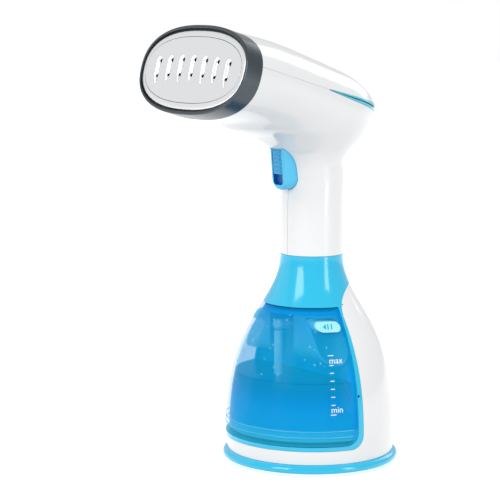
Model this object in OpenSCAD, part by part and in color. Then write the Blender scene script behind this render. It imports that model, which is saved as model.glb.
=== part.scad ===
// Handheld garment steamer with a removable water tank.
// +Z is up. The origin is the centre of the round foot's underside, on the neck's axis.
// The steam plate faces -Y, and the whole body is symmetrical about the plane X = 0.

/* [Bell body] */
// Radius of the straight neck, and of the collar's top edge
neck_r = 20.3; // [17:0.1:25]
// Widest radius of the bell-shaped lower body
bell_r = 55.2; // [46:0.1:68]
// Height at which the bell is widest
bell_z = 23; // [18:1:30]
// Height of the collar's top edge
collar_top = 135; // [126:1:165]
// Length of the bell curve's straight pull below the collar edge
bell_pull_top = 33; // [25:1:40]
// Length of the bell curve's upright pull above the widest point
bell_pull_low = 70; // [55:1:85]
// How far the wall draws in between the widest point and the foot
foot_draw = 1.5; // [0.5:0.1:3]
// Wall of the white shells and the blue collar
wall = 2.4; // [1.8:0.1:3]

/* [Base] */
// How far the foot ring flares out beyond the bell's widest line
ring_flare = 1.8; // [1:0.1:4]
// Height of the foot ring's top edge
ring_h = 7.8; // [6.8:0.1:10]
// Height of the foot ring's widest line
ring_wide_z = 4.6; // [4:0.1:5.5]
// Gap under the foot ring, which the pad bridges
ring_lift = 2.3; // [1:0.1:3]
// Width of the foot ring from its outer edge to its bore
ring_width = 8; // [7:0.1:9]
// Thickness of the anti-slip pad
pad_h = 1.6; // [1:0.1:2.5]
// Distance of the anti-slip pad's edge inside the foot ring's bore
pad_margin = 7; // [3:0.5:8]
// Thickness of the base plate
plate_h = 2.4; // [1.8:0.1:3]
// Distance of the base screws inside the foot ring's bore
screw_margin = 11; // [9:0.5:13]
// Top of the white band that runs right round above the foot
band_top = 16.5; // [14:0.1:20]

/* [Water tank] */
// Height of the tank opening's top edge
tank_top = 103.8; // [95:0.1:112]
// Half of the angle that the tank wraps round the body
tank_angle = 84; // [75:0.5:86]
// Wall of the tank
tank_wall = 2.4; // [1.8:0.1:3]
// Wall of the frame's legs beside the tank
leg_wall = 1.8; // [1.2:0.1:2]
// Distance of the legs' rear edge in front of the neck's axis
leg_rear = 2; // [1:0.1:4]
// Thickness of the frame's floor under the tank
frame_floor = 2.8; // [2:0.1:4]
// Radius of the tank window's lower corners
window_corner = 8; // [4:0.5:12]
// Thickness of the bay liner behind the tank
liner_t = 2; // [1.5:0.1:3]
// How far the tank's roof lies below its rim
roof_drop = 2.4; // [2:0.1:4]
// Thickness of the tank's floor, roof and back
tank_plate = 2.2; // [1.6:0.1:3]
// Height of the outlet's axis above the base
outlet_z = 91; // [80:0.5:94]
// Outer radius of the tank's outlet nipple
outlet_r = 4; // [3:0.1:5]
// Bore of the outlet, the elbow and the suction tube
water_bore = 1.6; // [1:0.1:2]
// Distance of the suction tube in front of the neck's axis
suction_y = 27; // [18:0.5:32]
// Outer radius of the suction tube
suction_r = 2.7; // [2.2:0.1:3.2]
// Radius of the suction weight
weight_r = 8; // [5:0.1:9]
// Height of the suction weight's underside
weight_z = 26; // [24:0.5:34]
// Height of the suction weight
weight_h = 12; // [8:0.5:16]
// Distance of the filler plug to the right of the middle plane
filler_x = 6.2; // [5.5:0.1:7]
// Distance of the filler plug in front of the neck's axis
filler_y = 14.5; // [13:0.5:18]
// Radius of the filler hole
filler_r = 4.6; // [3.5:0.1:5.5]

/* [Release tabs] */
// Height of the tabs' centres
tab_z = 92.8; // [84:0.1:93]
// Height of a tab
tab_h = 6.4; // [5:0.1:7]
// Width of a tab
tab_w = 14.3; // [11:0.1:16]
// Distance of the tabs' centres in front of the neck's axis
tab_y = 14.9; // [13.5:0.1:18]
// How far a tab stands out of the tank's wall
tab_raise = 1; // [0.5:0.1:2]
// Depth of a tab's squeeze
tab_travel = 2.5; // [1:0.1:3]
// Lower end of the pocket behind a tab
pocket_z = 69; // [60:0.5:78]
// Distance of the pocket's inner wall from the middle plane
pocket_x = 12; // [10:0.5:14]
// Wall of the pockets
pocket_wall = 1.2; // [0.8:0.1:1.6]

/* [Neck and head] */
// Length of the straight neck above the collar
neck_len = 51; // [45:0.5:70]
// Half of the bezel's width
bezel_half_w = 53.25; // [44:0.25:64]
// Half of the bezel's height
bezel_half_h = 28.1; // [27:0.1:33]
// Depth of the bezel
bezel_depth = 12; // [10:0.5:15]
// Length of the head from the steam plate's face to the rear end
head_len = 139; // [125:1:160]
// Nose-up tilt of the steam plate
head_tilt = 16.2; // [10:0.1:20]
// Height of the steam plate's centre above the collar's top edge
plate_rise = 119.3; // [112:0.1:130]
// Distance of the steam plate's centre in front of the neck's axis
plate_reach = 96; // [85:0.5:110]
// Height of the cover's seam above the head's axis at the bezel
seam_v = 6.6; // [4:0.1:9]
// Rise of the cover's seam for each millimetre towards the rear
seam_slope = 0.036; // [0:0.001:0.06]
// Distance behind the steam plate at which the accent wedge starts
accent_start = 75; // [65:0.5:90]
// Height of the accent wedge at the head's rear end
accent_h = 8; // [4:0.1:12]
// Depth of the accent inlay
accent_depth = 1.2; // [0.8:0.1:1.6]
// Height of the groove along the accent
groove_h = 1.4; // [0.8:0.1:2]

/* [Steam plate] */
// Half of the steam plate's width
plate_half_w = 51.5; // [42:0.25:52]
// Half of the steam plate's height
plate_half_h = 25.1; // [24:0.1:25.6]
// Thickness of the steam plate
plate_t = 2.4; // [1.8:0.1:3]
// Spacing of the steam slots
slot_pitch = 11.74; // [9:0.01:12]
// Number of steam slots
slot_count = 7; // [5:2:7]
// Length of a dished slot
slot_len = 18.6; // [14:0.1:20]
// Width of a dished slot
slot_w = 5; // [4:0.1:6]
// Radius of a steam hole
steam_r = 1.25; // [0.8:0.05:1.4]
// Half of the heater block's width
block_half_w = 47.5; // [40:0.25:48]
// Half of the heater block's height
block_half_h = 20.5; // [20:0.1:22]
// Depth of the heater block
block_t = 16.5; // [15:0.5:20]
// Radius of the heating element's rod
rod_r = 2; // [1.8:0.1:2.1]

/* [Trigger] */
// Width of the trigger
trigger_w = 14.6; // [12:0.1:17]
// Height of the trigger
trigger_h = 29; // [25:0.5:33]
// Height of the trigger's hinge pin above the straight neck's end
pin_rise = 17.4; // [15:0.1:20]
// Distance of the hinge pin in front of the neck's axis
pin_y = 17; // [15:0.1:18]
// Radius of the hinge pin
pin_r = 1.5; // [1:0.1:2]
// Lean of the trigger's front face
face_lean = 5.2; // [3:0.1:8]
// Width of the lock slider
lock_w = 8.5; // [6:0.1:10]
// Length of the lock slider
lock_len = 17; // [12:0.5:18]
// Travel of the lock slider
lock_travel = 6; // [4:0.5:7]
// Number of ridges on the lock slider
lock_ridges = 5; // [3:1:6]

/* [Pump and hoses] */
// Distance of the pump's axis behind the neck's axis
pump_y = 24; // [22:0.5:27]
// Height of the pump's inlet end
pump_z = 36; // [35.5:0.5:40]
// Length of the pump's tube
pump_len = 50; // [48:1:56]
// Outer radius of the pump's tube
pump_tube_r = 5.5; // [5:0.1:6]
// Radius of the pump's piston
piston_r = 3; // [2:0.1:3.4]
// Travel of the piston each way
piston_travel = 1.5; // [0.5:0.1:2]
// Outer radius of the coil
coil_r = 13; // [11:0.1:14]
// Outer radius of the hoses
hose_r = 3.2; // [2.8:0.1:3.5]

/* [Electrical] */
// Height of the mains lead inlet's axis
inlet_z = 27; // [25:0.5:32]
// Bore of the mains lead gland
inlet_bore_r = 3.6; // [2.5:0.1:4]
// Outer radius of the gland's sleeve
gland_r = 6; // [5:0.1:7]
// Length of the gland's sleeve outside and inside the wall together
gland_len = 16; // [12:0.5:20]

/* [Clearances] */
// Gap between the sliding tank and the body
slide_gap = 0.4; // [0.3:0.05:0.6]
// Gap round buttons, tabs and sliders
button_gap = 0.4; // [0.3:0.05:0.6]
// Gap between fixed pieces that are fitted into each other
fit_gap = 0.2; // [0.1:0.05:0.3]
// Radial clearance of pins and pistons that turn or slide
run_gap = 0.05; // [0.03:0.01:0.08]

/* [Hidden] */
$fn = 96;
ring_r = bell_r + ring_flare;
ring_bore_r = ring_r - ring_width;
pad_r = ring_bore_r - pad_margin;
base_screw_circle = ring_bore_r - screw_margin;
big = 400;
eps = 0.01;
cover_gap = 0.1;

// ---- The bell's outline, a cubic curve from the collar edge down to the widest point ----
function bezier(t) = [
    (pow(1 - t, 3) + 3 * pow(1 - t, 2) * t) * neck_r + (3 * (1 - t) * t * t + pow(t, 3)) * bell_r,
    pow(1 - t, 3) * collar_top + 3 * pow(1 - t, 2) * t * (collar_top - bell_pull_top)
        + 3 * (1 - t) * t * t * (bell_z + bell_pull_low) + pow(t, 3) * bell_z
];
function unit(v) = v / norm(v);
function bell_normal(t) = let (d = bezier(min(t + 0.001, 1)) - bezier(max(t - 0.001, 0)))
    unit([-d[1], d[0]]);
function bell_point(t, inset) = bezier(t) - inset * bell_normal(t);
function foot_radius(z) = bell_r - foot_draw * pow((bell_z - z) / (bell_z - ring_h), 2);
// Curve position at a height, found by halving
function bell_t(z, lo = 0, hi = 1, n = 24) =
    n == 0 ? (lo + hi) / 2 : let (m = (lo + hi) / 2) bezier(m)[1] > z ? bell_t(z, m, hi, n - 1)
        : bell_t(z, lo, m, n - 1);
function bell_radius(z) = z < bell_z ? foot_radius(z) : bezier(bell_t(z))[0];
bell_steps = 22;
foot_steps = 4;

// Solid bell, its surface moved in by inset; a negative inset moves it out
module bell_solid(inset) {
    curve = [for (i = [0 : bell_steps]) bell_point(i / bell_steps, inset)];
    foot = [for (i = [1 : foot_steps]) let (z = bell_z - i * (bell_z - ring_h) / foot_steps)
        [foot_radius(z) - inset, z]];
    rotate_extrude()
        polygon(concat([[0, collar_top], [curve[0][0], collar_top]],
            [for (p = curve) if (p[1] < collar_top) p],
                       foot, [[foot[foot_steps - 1][0], 0], [0, 0]]));
}

// A side-view outline of [Y, Z] points, made into a solid that spans the whole width
module side_block(points, width = big) {
    rotate([90, 0, 90]) linear_extrude(width, center = true) polygon(points);
}

module slab_z(low, high) {
    translate([-big / 2, -big / 2, low]) cube([big, big, high - low]);
}

module slab_y(low, high) {
    translate([-big / 2, low, -big / 2]) cube([big, high - low, 2 * big]);
}

function arc(centre, rx, ry, from, to, steps = 8) =
    [for (i = [0 : steps]) let (a = from + (to - from) * i / steps) centre + [rx * cos(a), ry * sin(a)]];

// ---- Levels and planes that several pieces share ----
plate_z = pad_h;
plate_top = plate_z + plate_h;
deck_t = 2.4;
deck_top = band_top - 0.1;
frame_floor_top = band_top + 0.1 + frame_floor;
tank_z = frame_floor_top + slide_gap;
tank_rim = tank_top - slide_gap;
roof_z = tank_rim - roof_drop - tank_plate;
roof_top = tank_rim - roof_drop;
liner_y = -leg_rear - 0.2;
liner_back = liner_y + liner_t;
tank_rear = liner_y - slide_gap;
tank_inner_rear = tank_rear - tank_plate;
lap_inset = leg_wall + 0.6;
flare_z = collar_top + neck_len;

// ---- Foot ----
module anti_slip_pad() {
    color("#2A2D30") cylinder(r = pad_r, h = pad_h);
}

module base_screw_places() {
    for (a = [45 : 90 : 315]) rotate(a) translate([base_screw_circle, 0, 0]) children();
}

screw_shaft_r = 1.4;
screw_head_r = 2.8;
screw_head_h = 1.5;
boss_r = 3.8;

module base_plate() {
    color("#DDE3E6") difference() {
        translate([0, 0, plate_z]) cylinder(r = ring_bore_r - fit_gap, h = plate_h);
        base_screw_places() {
            translate([0, 0, plate_z - eps]) cylinder(r = screw_shaft_r + fit_gap, h = plate_h + 1);
            translate([0, 0, plate_z - eps]) cylinder(r = screw_head_r + fit_gap, h = screw_head_h + eps);
        }
    }
}

ledge_w = 3.5;
ledge_h = 1.8;
spigot_h = 4;

// The ring's outside swells from its underside to its widest line and draws in to the band
module base_ring() {
    swell = ring_r - foot_radius(ring_h);
    spigot_r = foot_radius(ring_h) - wall - fit_gap;
    color("#1BADE8") rotate_extrude()
        polygon(concat(
            [[ring_bore_r, ring_lift]],
            arc([ring_r - 2.2, ring_wide_z], 2.2, ring_wide_z - ring_lift, -90, 0),
            arc([ring_r - swell, ring_wide_z], swell, ring_h - 0.1 - ring_wide_z, 0, 80),
            [[foot_radius(ring_h), ring_h - 0.1], [spigot_r, ring_h - 0.1], [spigot_r, ring_h + spigot_h],
             [spigot_r - 1.8, ring_h + spigot_h], [spigot_r - 1.8, plate_top + fit_gap + ledge_h],
             [ring_bore_r - ledge_w, plate_top + fit_gap + ledge_h],
                 [ring_bore_r - ledge_w, plate_top + fit_gap],
             [ring_bore_r, plate_top + fit_gap]]));
}

module base_screws() {
    color("#B8BCC0") base_screw_places() {
        translate([0, 0, plate_z + 0.1]) cylinder(r = screw_head_r, h = screw_head_h - 0.2);
        translate([0, 0, plate_z + 0.2]) cylinder(r = screw_shaft_r, h = deck_top - plate_z - deck_t);
    }
}

// ---- Rear housing: the white band and the white back ----
arch_centre = [22, 98];
arch_r = [24, 18.5];
housing_corner = 9;

function rear_outline(gap) = concat(
    [[big, band_top - gap]],
    arc([-leg_rear - housing_corner, band_top + housing_corner], housing_corner + gap,
        housing_corner + gap, 270, 360),
    arc([arch_centre[0] + gap, arch_centre[1]], arch_r[0], arch_r[1] - gap, 180, 90, 12),
    [[big, arch_centre[1] + arch_r[1] - gap]]);

housing_screw_x = 30;
housing_screw_z = 48;
housing_boss_end = 26;

module housing_screw_places() {
    for (side = [-1, 1])
        translate([side * housing_screw_x, 0, housing_screw_z]) rotate([-90, 0, 0]) children();
}

module rear_housing() {
    color("#F4F5F6") difference() {
        union() {
            intersection() {
                difference() {
                    bell_solid(0);
                    bell_solid(wall);
                }
                union() {
                    slab_z(ring_h, band_top);
                    side_block(rear_outline(0.1));
                }
            }
            intersection() {
                bell_solid(wall - 0.1);
                slab_z(deck_top - deck_t, deck_top);
            }
            base_screw_places() translate([0, 0, plate_top + fit_gap])
                cylinder(r = boss_r, h = deck_top - deck_t - plate_top);
            intersection() {
                bell_solid(wall - 0.1);
                housing_screw_places() translate([0, 0, liner_back + fit_gap]) cylinder(r = boss_r, h = big);
            }
        }
        base_screw_places() translate([0, 0, plate_top])
            cylinder(r = screw_shaft_r + run_gap, h = deck_top - deck_t - plate_top + 1);
        housing_screw_places() {
            translate([0, 0, -1]) cylinder(r = screw_shaft_r + fit_gap, h = big);
            translate([0, 0, housing_boss_end]) cylinder(r = screw_head_r + fit_gap, h = big);
        }
        gland_axis() cylinder(r = gland_r + fit_gap, h = big, center = true);
    }
}

module housing_screws() {
    color("#B8BCC0") housing_screw_places() {
        translate([0, 0, liner_y + 0.2]) cylinder(r = screw_shaft_r, h = housing_boss_end - liner_y);
        translate([0, 0, housing_boss_end + 0.1]) cylinder(r = screw_head_r, h = screw_head_h);
    }
}

// ---- Blue collar with the frame's legs and floor round the tank ----
// The tank's region: a wedge of the body's round, with its lower corners rounded in side view
module tank_region(gap) {
    reach = 2 * bell_r;
    side = [reach * sin(tank_angle), -reach * cos(tank_angle)];
    low = frame_floor_top + gap;
    corner_y = -bell_radius(bell_z) * cos(tank_angle) - gap;
    intersection() {
        translate([0, -gap, 0]) linear_extrude(tank_top - gap)
            polygon([[0, 0], side, [side[0], -reach], [-side[0], -reach], [-side[0], side[1]]]);
        side_block(concat([[-reach, low]],
            arc([corner_y - window_corner, low + window_corner], window_corner, window_corner, 270, 360),
            [[corner_y, bell_z + window_corner + 20], [0, bell_z + window_corner + 40], [0, big],
                [-reach, big]]));
    }
}

spigot_r = neck_r - wall - 0.3;
spigot_wall = 2;

module collar_frame() {
    color("#12B2EA") difference() {
        union() {
            difference() {
                bell_solid(0);
                bell_solid(wall);
                slab_z(0, tank_top);
            }
            intersection() {
                difference() {
                    bell_solid(0);
                    bell_solid(leg_wall);
                }
                slab_z(band_top + 0.1, tank_top + eps);
            }
            intersection() {
                bell_solid(leg_wall - 0.1);
                slab_z(band_top + 0.1, frame_floor_top);
            }
            translate([0, 0, collar_top - 5]) difference() {
                cylinder(r = neck_r - wall + 0.1, h = 3);
                translate([0, 0, -1]) cylinder(r = spigot_r - spigot_wall, h = 5);
            }
            translate([0, 0, collar_top - 5]) difference() {
                cylinder(r = spigot_r, h = 12);
                translate([0, 0, -1]) cylinder(r = spigot_r - spigot_wall, h = 14);
            }
        }
        side_block(rear_outline(0));
        slab_z(-1, band_top + 0.1);
        tank_region(0);
    }
}

// ---- Liner between the tank bay and the rear compartment ----
socket_r = outlet_r + 2.1;
socket_outer_r = socket_r + 1.8;
socket_depth = 7;

module tank_bay_liner() {
    color("#E9EDEF") difference() {
        intersection() {
            bell_solid(wall + fit_gap);
            slab_y(liner_y, liner_back);
            slab_z(frame_floor_top + fit_gap, tank_top - 1);
        }
        translate([0, 0, outlet_z]) rotate([-90, 0, 0])
            cylinder(r = socket_outer_r + fit_gap, h = big, center = true);
        housing_screw_places() translate([0, 0, liner_y - 1])
            cylinder(r = screw_shaft_r + run_gap, h = liner_t + 2);
        pump_arm_bars(fit_gap);
    }
}

// ---- Round-cornered oval of the head, as a superellipse ----
function sgn_pow(v, e) = sign(v) * pow(abs(v), e);
function oval(w, h, n = 2.4, steps = 48) =
    [for (i = [0 : steps - 1]) let (a = 360 * i / steps)
        [w * sgn_pow(cos(a), 2 / n), h * sgn_pow(sin(a), 2 / n)]];

plate_centre = [0, -plate_reach, collar_top + plate_rise];

// Frame of the steam plate: x across, y up the plate, z out of its face
module at_plate() {
    translate(plate_centre) rotate([90 - head_tilt, 0, 0]) children();
}

// ---- Head and neck outer form; inset moves the surface in ----
rear_round = 38;
head_taper = 14.2;
crown_rise = 2.7;
function seam_at(s) = seam_v + seam_slope * (s - bezel_depth);
// Share of the full section that is left at a distance s, rounding off the rear end
function rear_share(s) = let (k = (s - (head_len - rear_round)) / rear_round) k <= 0 ? 1
    : sqrt(max(0, 1 - k * k));
function head_half_w(s) =
    (bezel_half_w - head_taper * (s - bezel_depth) / (head_len - rear_round - bezel_depth)) * rear_share(s);
function head_top(s) =
    let (crown = bezel_half_h + crown_rise * sin(90 * min(1, (s - bezel_depth) / 35)) - 0.038 * max(0,
        s - 55))
    seam_at(s) + (crown - seam_at(s)) * rear_share(s);
// The section is squarest at the bezel
function head_squareness(s) = 2.4 - 0.23 * min(1, (s - bezel_depth) / 35);
function head_bottom(s) = let (low = -bezel_half_h + 3.2 * sin(90 * min(1, (s - bezel_depth) / 26)))
    seam_at(s) + (low - seam_at(s)) * pow(rear_share(s), 0.6);
head_stations = concat(
    [bezel_depth, bezel_depth + 8, bezel_depth + 18, bezel_depth + 33, bezel_depth + 55,
        bezel_depth + 75, head_len - rear_round],
    [for (a = [22, 40, 56, 74]) head_len - rear_round + rear_round * sin(a)]);

// Solid between two rings that have the same number of points
module span(ring_a, ring_b) {
    n = len(ring_a);
    hull() polyhedron(concat(ring_a, ring_b),
        [[for (i = [0 : n - 1]) i], [for (i = [n - 1 : -1 : 0]) n + i]]);
}

function raised(outline, middle, z) = [for (p = outline) [p[0], p[1] + middle, z]];

function head_ring(s, inset, shift) =
    let (top = head_top(s) - inset, low = head_bottom(s) + inset)
    raised(oval(head_half_w(s) - inset, (top - low) / 2, head_squareness(s)), (top + low) / 2, shift - s);

// The inner form starts a little in front of the outer one and ends its wall short of the rear end
module head_form(inset) {
    last = len(head_stations) - 1;
    at_plate() for (i = [1 : last])
        span(head_ring(head_stations[i - 1], inset, i == 1 && inset > 0 ? 1 : 0),
             head_ring(head_stations[i], inset, i == last ? inset : 0));
}

// The neck flares into the head: [rise above the straight neck, half width, front reach, rear reach]
neck_rings = [
    [0, 0, 0, 0], [10, 0.3, 2.6, -0.3], [15.7, 1.5, 7.3, 1.7], [20.9, 3.7, 14.2, 5.5],
        [26.7, 6.7, 24.2, 10.7],
    [32.4, 10.2, 39.7, 17.2], [37.6, 12.2, 46, 20.7], [44, 11, 40, 20]
];

function neck_ring(ring, inset) =
    let (front = neck_r + ring[2] - inset, rear = neck_r + ring[3] - inset)
    raised(oval(neck_r + ring[1] - inset, (front + rear) / 2, 2), (rear - front) / 2, flare_z + ring[0]);

module neck_form(inset) {
    start = collar_top - (inset > 0 ? 1 : 0);
    span(raised(oval(neck_r - inset, neck_r - inset, 2), 0, start), neck_ring(neck_rings[0], inset));
    for (i = [1 : len(neck_rings) - 1])
        span(neck_ring(neck_rings[i - 1], inset), neck_ring(neck_rings[i], inset));
}

module body_form(inset) {
    head_form(inset);
    neck_form(inset);
}

// Wedge between the cover and the body, seen from the side in the head's frame
module accent_wedge(half, start = accent_start) {
    rise = head_len + 10;
    tip = 0.3;
    at_plate() rotate([0, -90, 0]) linear_extrude(big, center = true)
        polygon([[-start, seam_at(start) + tip], [-rise, seam_at(rise) + half],
                 [-rise, seam_at(rise) - half], [-start, seam_at(start) - tip]]);
}

module above_seam(gap) {
    at_plate() rotate([0, -90, 0]) linear_extrude(big, center = true)
        polygon([[big, seam_at(-big) + gap], [-big, seam_at(big) + gap], [-big, big], [big, big]]);
}

body_screw_y = 14;
body_screw_rise = [17, 44];
body_boss_r = screw_head_r + fit_gap + 1.2;

module body_screw_places() {
    for (r = body_screw_rise) translate([0, body_screw_y, collar_top + r]) rotate([0, 90, 0]) children();
}

trigger_top = flare_z + pin_rise + 2.8;
trigger_low = trigger_top - trigger_h;
slot_half = trigger_w / 2 + button_gap;

// Both halves of the handle, hollow, without the cover and the accent
module handle_shell() {
    difference() {
        body_form(0);
        difference() {
            body_form(wall);
            body_screw_places() cylinder(r = body_boss_r, h = big, center = true);
        }
        above_seam(-cover_gap / 2);
        difference() {
            accent_wedge(accent_h / 2 + cover_gap);
            body_form(accent_depth + cover_gap);
        }
        translate([-slot_half, -big / 2 - 10, trigger_low - 1.3])
            cube([2 * slot_half, big / 2, trigger_h + 1.9]);
    }
}

module body_right() {
    color("#F6F7F8") difference() {
        handle_shell();
        translate([-big + cover_gap / 2, -big / 2, 0]) cube(big);
        body_screw_places() translate([0, 0, -1]) cylinder(r = screw_shaft_r + fit_gap, h = 9, $fn = 24);
    }
}

module body_left() {
    color("#F6F7F8") difference() {
        handle_shell();
        translate([-cover_gap / 2, -big / 2, 0]) cube(big);
        body_screw_places() {
            translate([0, 0, -big]) cylinder(r = screw_shaft_r + fit_gap, h = big + 1, $fn = 24);
            translate([0, 0, -big]) cylinder(r = screw_head_r + fit_gap, h = big - 6, $fn = 24);
        }
    }
}

module body_screws() {
    color("#B8BCC0") body_screw_places() {
        translate([0, 0, -6.1]) cylinder(r = screw_shaft_r, h = 13);
        translate([0, 0, -6.1 - screw_head_h]) cylinder(r = screw_head_r, h = screw_head_h + eps);
    }
}

// All the screws that hold the case together
module case_screws() {
    housing_screws();
    body_screws();
}

module head_cover() {
    color("#F8F9FA") difference() {
        intersection() {
            head_form(0);
            above_seam(cover_gap / 2);
        }
        head_form(wall);
        difference() {
            accent_wedge(accent_h / 2 + cover_gap);
            body_form(accent_depth + cover_gap);
        }
    }
}

groove_inset = 5;
groove_depth = 0.75;

module accent_strip() {
    color("#6FE0F2") difference() {
        intersection() {
            body_form(0);
            accent_wedge(accent_h / 2);
        }
        body_form(accent_depth);
        difference() {
            accent_wedge(groove_h / 2 + cover_gap, accent_start + groove_inset);
            body_form(groove_depth + cover_gap);
        }
    }
}

module accent_groove() {
    color("#00505E") difference() {
        intersection() {
            body_form(0.3);
            accent_wedge(groove_h / 2, accent_start + groove_inset);
        }
        body_form(groove_depth);
    }
}

// ---- Bezel, steam plate and heater ----
module oval_ring(w, h, inner_w, inner_h, low, high, n = 2.4) {
    translate([0, 0, low]) linear_extrude(high - low) difference() {
        polygon(oval(w, h, n));
        polygon(oval(inner_w, inner_h, n));
    }
}

bezel_lip = 0.6;
skirt_w = bezel_half_w - wall - 1.2;
skirt_h = bezel_half_h - wall - 1.5;

module bezel() {
    color("#3A4046") at_plate() {
        oval_ring(bezel_half_w, bezel_half_h, plate_half_w + 0.8, plate_half_h + 1.6, -9, bezel_lip);
        oval_ring(bezel_half_w, bezel_half_h, skirt_w - 1.4, skirt_h - 1.4, cover_gap - bezel_depth,
            -9 + eps);
        oval_ring(skirt_w, skirt_h, skirt_w - 1.4, skirt_h - 1.4, -bezel_depth - 4,
            eps - bezel_depth + cover_gap);
    }
}

module plate_gasket() {
    color("#15171A") at_plate()
        oval_ring(plate_half_w + 0.7, plate_half_h + 1.4, plate_half_w + 0.1, plate_half_h + 0.1, -6, -1.2);
}

slot_rows = [6.5, -2.95];
function droop(i) = 0.18 * i * i;
slot_half_n = (slot_count - 1) / 2;

module steam_hole_places() {
    for (i = [-slot_half_n : slot_half_n], row = slot_rows)
        translate([i * slot_pitch, row - droop(i), 0]) children();
}

// A leaf between two arcs, pointed at both ends
module leaf(length, width) {
    r = (length * length / 4 + width * width / 4) / width;
    intersection() {
        translate([r - width / 2, 0]) circle(r);
        translate([width / 2 - r, 0]) circle(r);
    }
}

module steam_plate() {
    color("#D9DADC") at_plate() difference() {
        union() {
            translate([0, 0, -plate_t]) linear_extrude(plate_t) polygon(oval(plate_half_w, plate_half_h));
            oval_ring(plate_half_w, plate_half_h, plate_half_w - 1.4, plate_half_h - 1.4, -6,
                -plate_t + eps);
        }
        steam_hole_places() translate([0, 0, -plate_t - 1]) cylinder(r = steam_r, h = plate_t + 2, $fn = 32);
        for (i = [-slot_half_n : slot_half_n]) translate([i * slot_pitch, 1.3 - droop(i), -0.7])
            linear_extrude(2) leaf(slot_len, slot_w);
    }
}

chamber_w = 38.2;
chamber_h = 9.5;
chamber_depth = 10;
cover_w = 42;
cover_h = 14.2;
cover_t = 2;
gasket_t = 0.8;
rod_v = 16.8;
rod_bend_x = 20;
rod_end_x = -20;
rod_depth = 11;
rod_tail = 14;
block_back = -plate_t - 0.1 - block_t;

module heater_screw_places() {
    for (x = [-24, 24], y = [-11.9, 11.9]) translate([x, y, 0]) children();
}

// The heating rod's run: two straight legs, a half-round bend and two ends that turn to the rear
module rod_run(r) {
    translate([0, 0, -plate_t - rod_depth]) {
        for (side = [-1, 1]) {
            translate([rod_end_x, side * rod_v, 0]) rotate([0, 90, 0])
                cylinder(r = r, h = rod_bend_x - rod_end_x);
            translate([rod_end_x, side * rod_v, 0]) sphere(r = r);
            translate([rod_end_x, side * rod_v, -rod_tail]) cylinder(r = r, h = rod_tail);
        }
        translate([rod_bend_x, 0, 0]) rotate(-90) rotate_extrude(angle = 180) translate([rod_v, 0])
            circle(r, $fn = 32);
    }
}

module heater_block() {
    color("#B9BCBE") at_plate() difference() {
        translate([0, 0, block_back]) linear_extrude(block_t) polygon(oval(block_half_w, block_half_h));
        translate([0, 0, block_back - 1]) linear_extrude(chamber_depth + 1)
            polygon(oval(chamber_w, chamber_h, 4));
        steam_hole_places() translate([0, 0, block_back]) cylinder(r = steam_r, h = block_t + 1, $fn = 32);
        heater_screw_places() translate([0, 0, block_back - 1]) cylinder(r = 1.2 + run_gap, h = 9);
        rod_run(rod_r + 0.1);
    }
}

module heating_element() {
    color("#8C8F92") at_plate() rod_run(rod_r);
}

module chamber_gasket() {
    color("#C8543A") at_plate() difference() {
        oval_ring(cover_w, cover_h, chamber_w + 0.5, chamber_h + 0.3, block_back - gasket_t, block_back, 4);
        heater_screw_places() translate([0, 0, block_back - 2]) cylinder(r = 1.2 + fit_gap, h = 3);
    }
}

cover_z = block_back - gasket_t - cover_t;

module chamber_cover() {
    color("#C4C7C9") at_plate() difference() {
        translate([0, 0, cover_z]) linear_extrude(cover_t) polygon(oval(cover_w, cover_h, 4));
        heater_screw_places() translate([0, 0, cover_z - 1]) cylinder(r = 1.2 + fit_gap, h = 4);
        translate([0, 0, cover_z - 1]) cylinder(r = 2.5 + fit_gap, h = 4);
    }
}

module heater_screws() {
    color("#B8BCC0") at_plate() heater_screw_places() {
        translate([0, 0, cover_z - 1.4]) cylinder(r = 1.9, h = 1.4);
        translate([0, 0, cover_z - 0.5]) cylinder(r = 1.2, h = cover_t + gasket_t + 7);
    }
}

fitting_len = 9;

module inlet_fitting() {
    color("#C9A24B") at_plate() difference() {
        union() {
            translate([0, 0, cover_z - 2]) cylinder(r = 4.2, h = 1.95);
            translate([0, 0, cover_z - 1]) cylinder(r = 2.5, h = 1 + cover_t);
            translate([0, 0, cover_z - fitting_len]) cylinder(r = 2.1, h = fitting_len);
        }
        translate([0, 0, cover_z - fitting_len - 1]) cylinder(r = 1.1, h = fitting_len + cover_t + 2);
    }
}

module thermostat() {
    color("#CFCFC8") at_plate() translate([17, 0, cover_z - 0.1]) {
        translate([0, 0, -6]) cylinder(r = 7.5, h = 6);
        for (y = [-3.5, 3.5]) translate([-1.5, y - 0.4, -12]) cube([3, 0.8, 6.1]);
    }
}

module thermal_fuse() {
    color("#D8D2C0") at_plate() translate([-16, 0, cover_z - 2.3]) {
        rotate([90, 0, 0]) cylinder(r = 2, h = 12, center = true);
        for (y = [-4, 4]) translate([-3.5, y - 0.8, 0.4]) cube([7, 1.6, 1.8]);
    }
}

shield_w = bezel_half_w - wall - 1.9;
shield_h = 22.2;

module heat_shield() {
    color("#D5D0C4") at_plate() {
        oval_ring(shield_w, shield_h, shield_w - 1, shield_h - 1, block_back - 1.4, -bezel_depth - 4.3);
        difference() {
            oval_ring(shield_w - 0.5, shield_h - 0.5, block_half_w - 1.3, block_half_h - 1.1,
                      block_back - 1.4, block_back - 0.1);
            for (side = [-1, 1]) translate([rod_end_x, side * rod_v, block_back - 2])
                cylinder(r = rod_r + 0.4, h = 3);
        }
    }
}

// ---- Pump ----
module pump_axis() {
    translate([0, pump_y, pump_z]) children();
}

nipple_r = 2.2;
nipple_len = 6;
chamber_low = 6;
piston_len = 24;
spring_len = 6;
chamber_len = spring_len + piston_len + piston_travel + 3;
coil_low = 12;
coil_len = 28;
yoke_t = 1.8;

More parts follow.
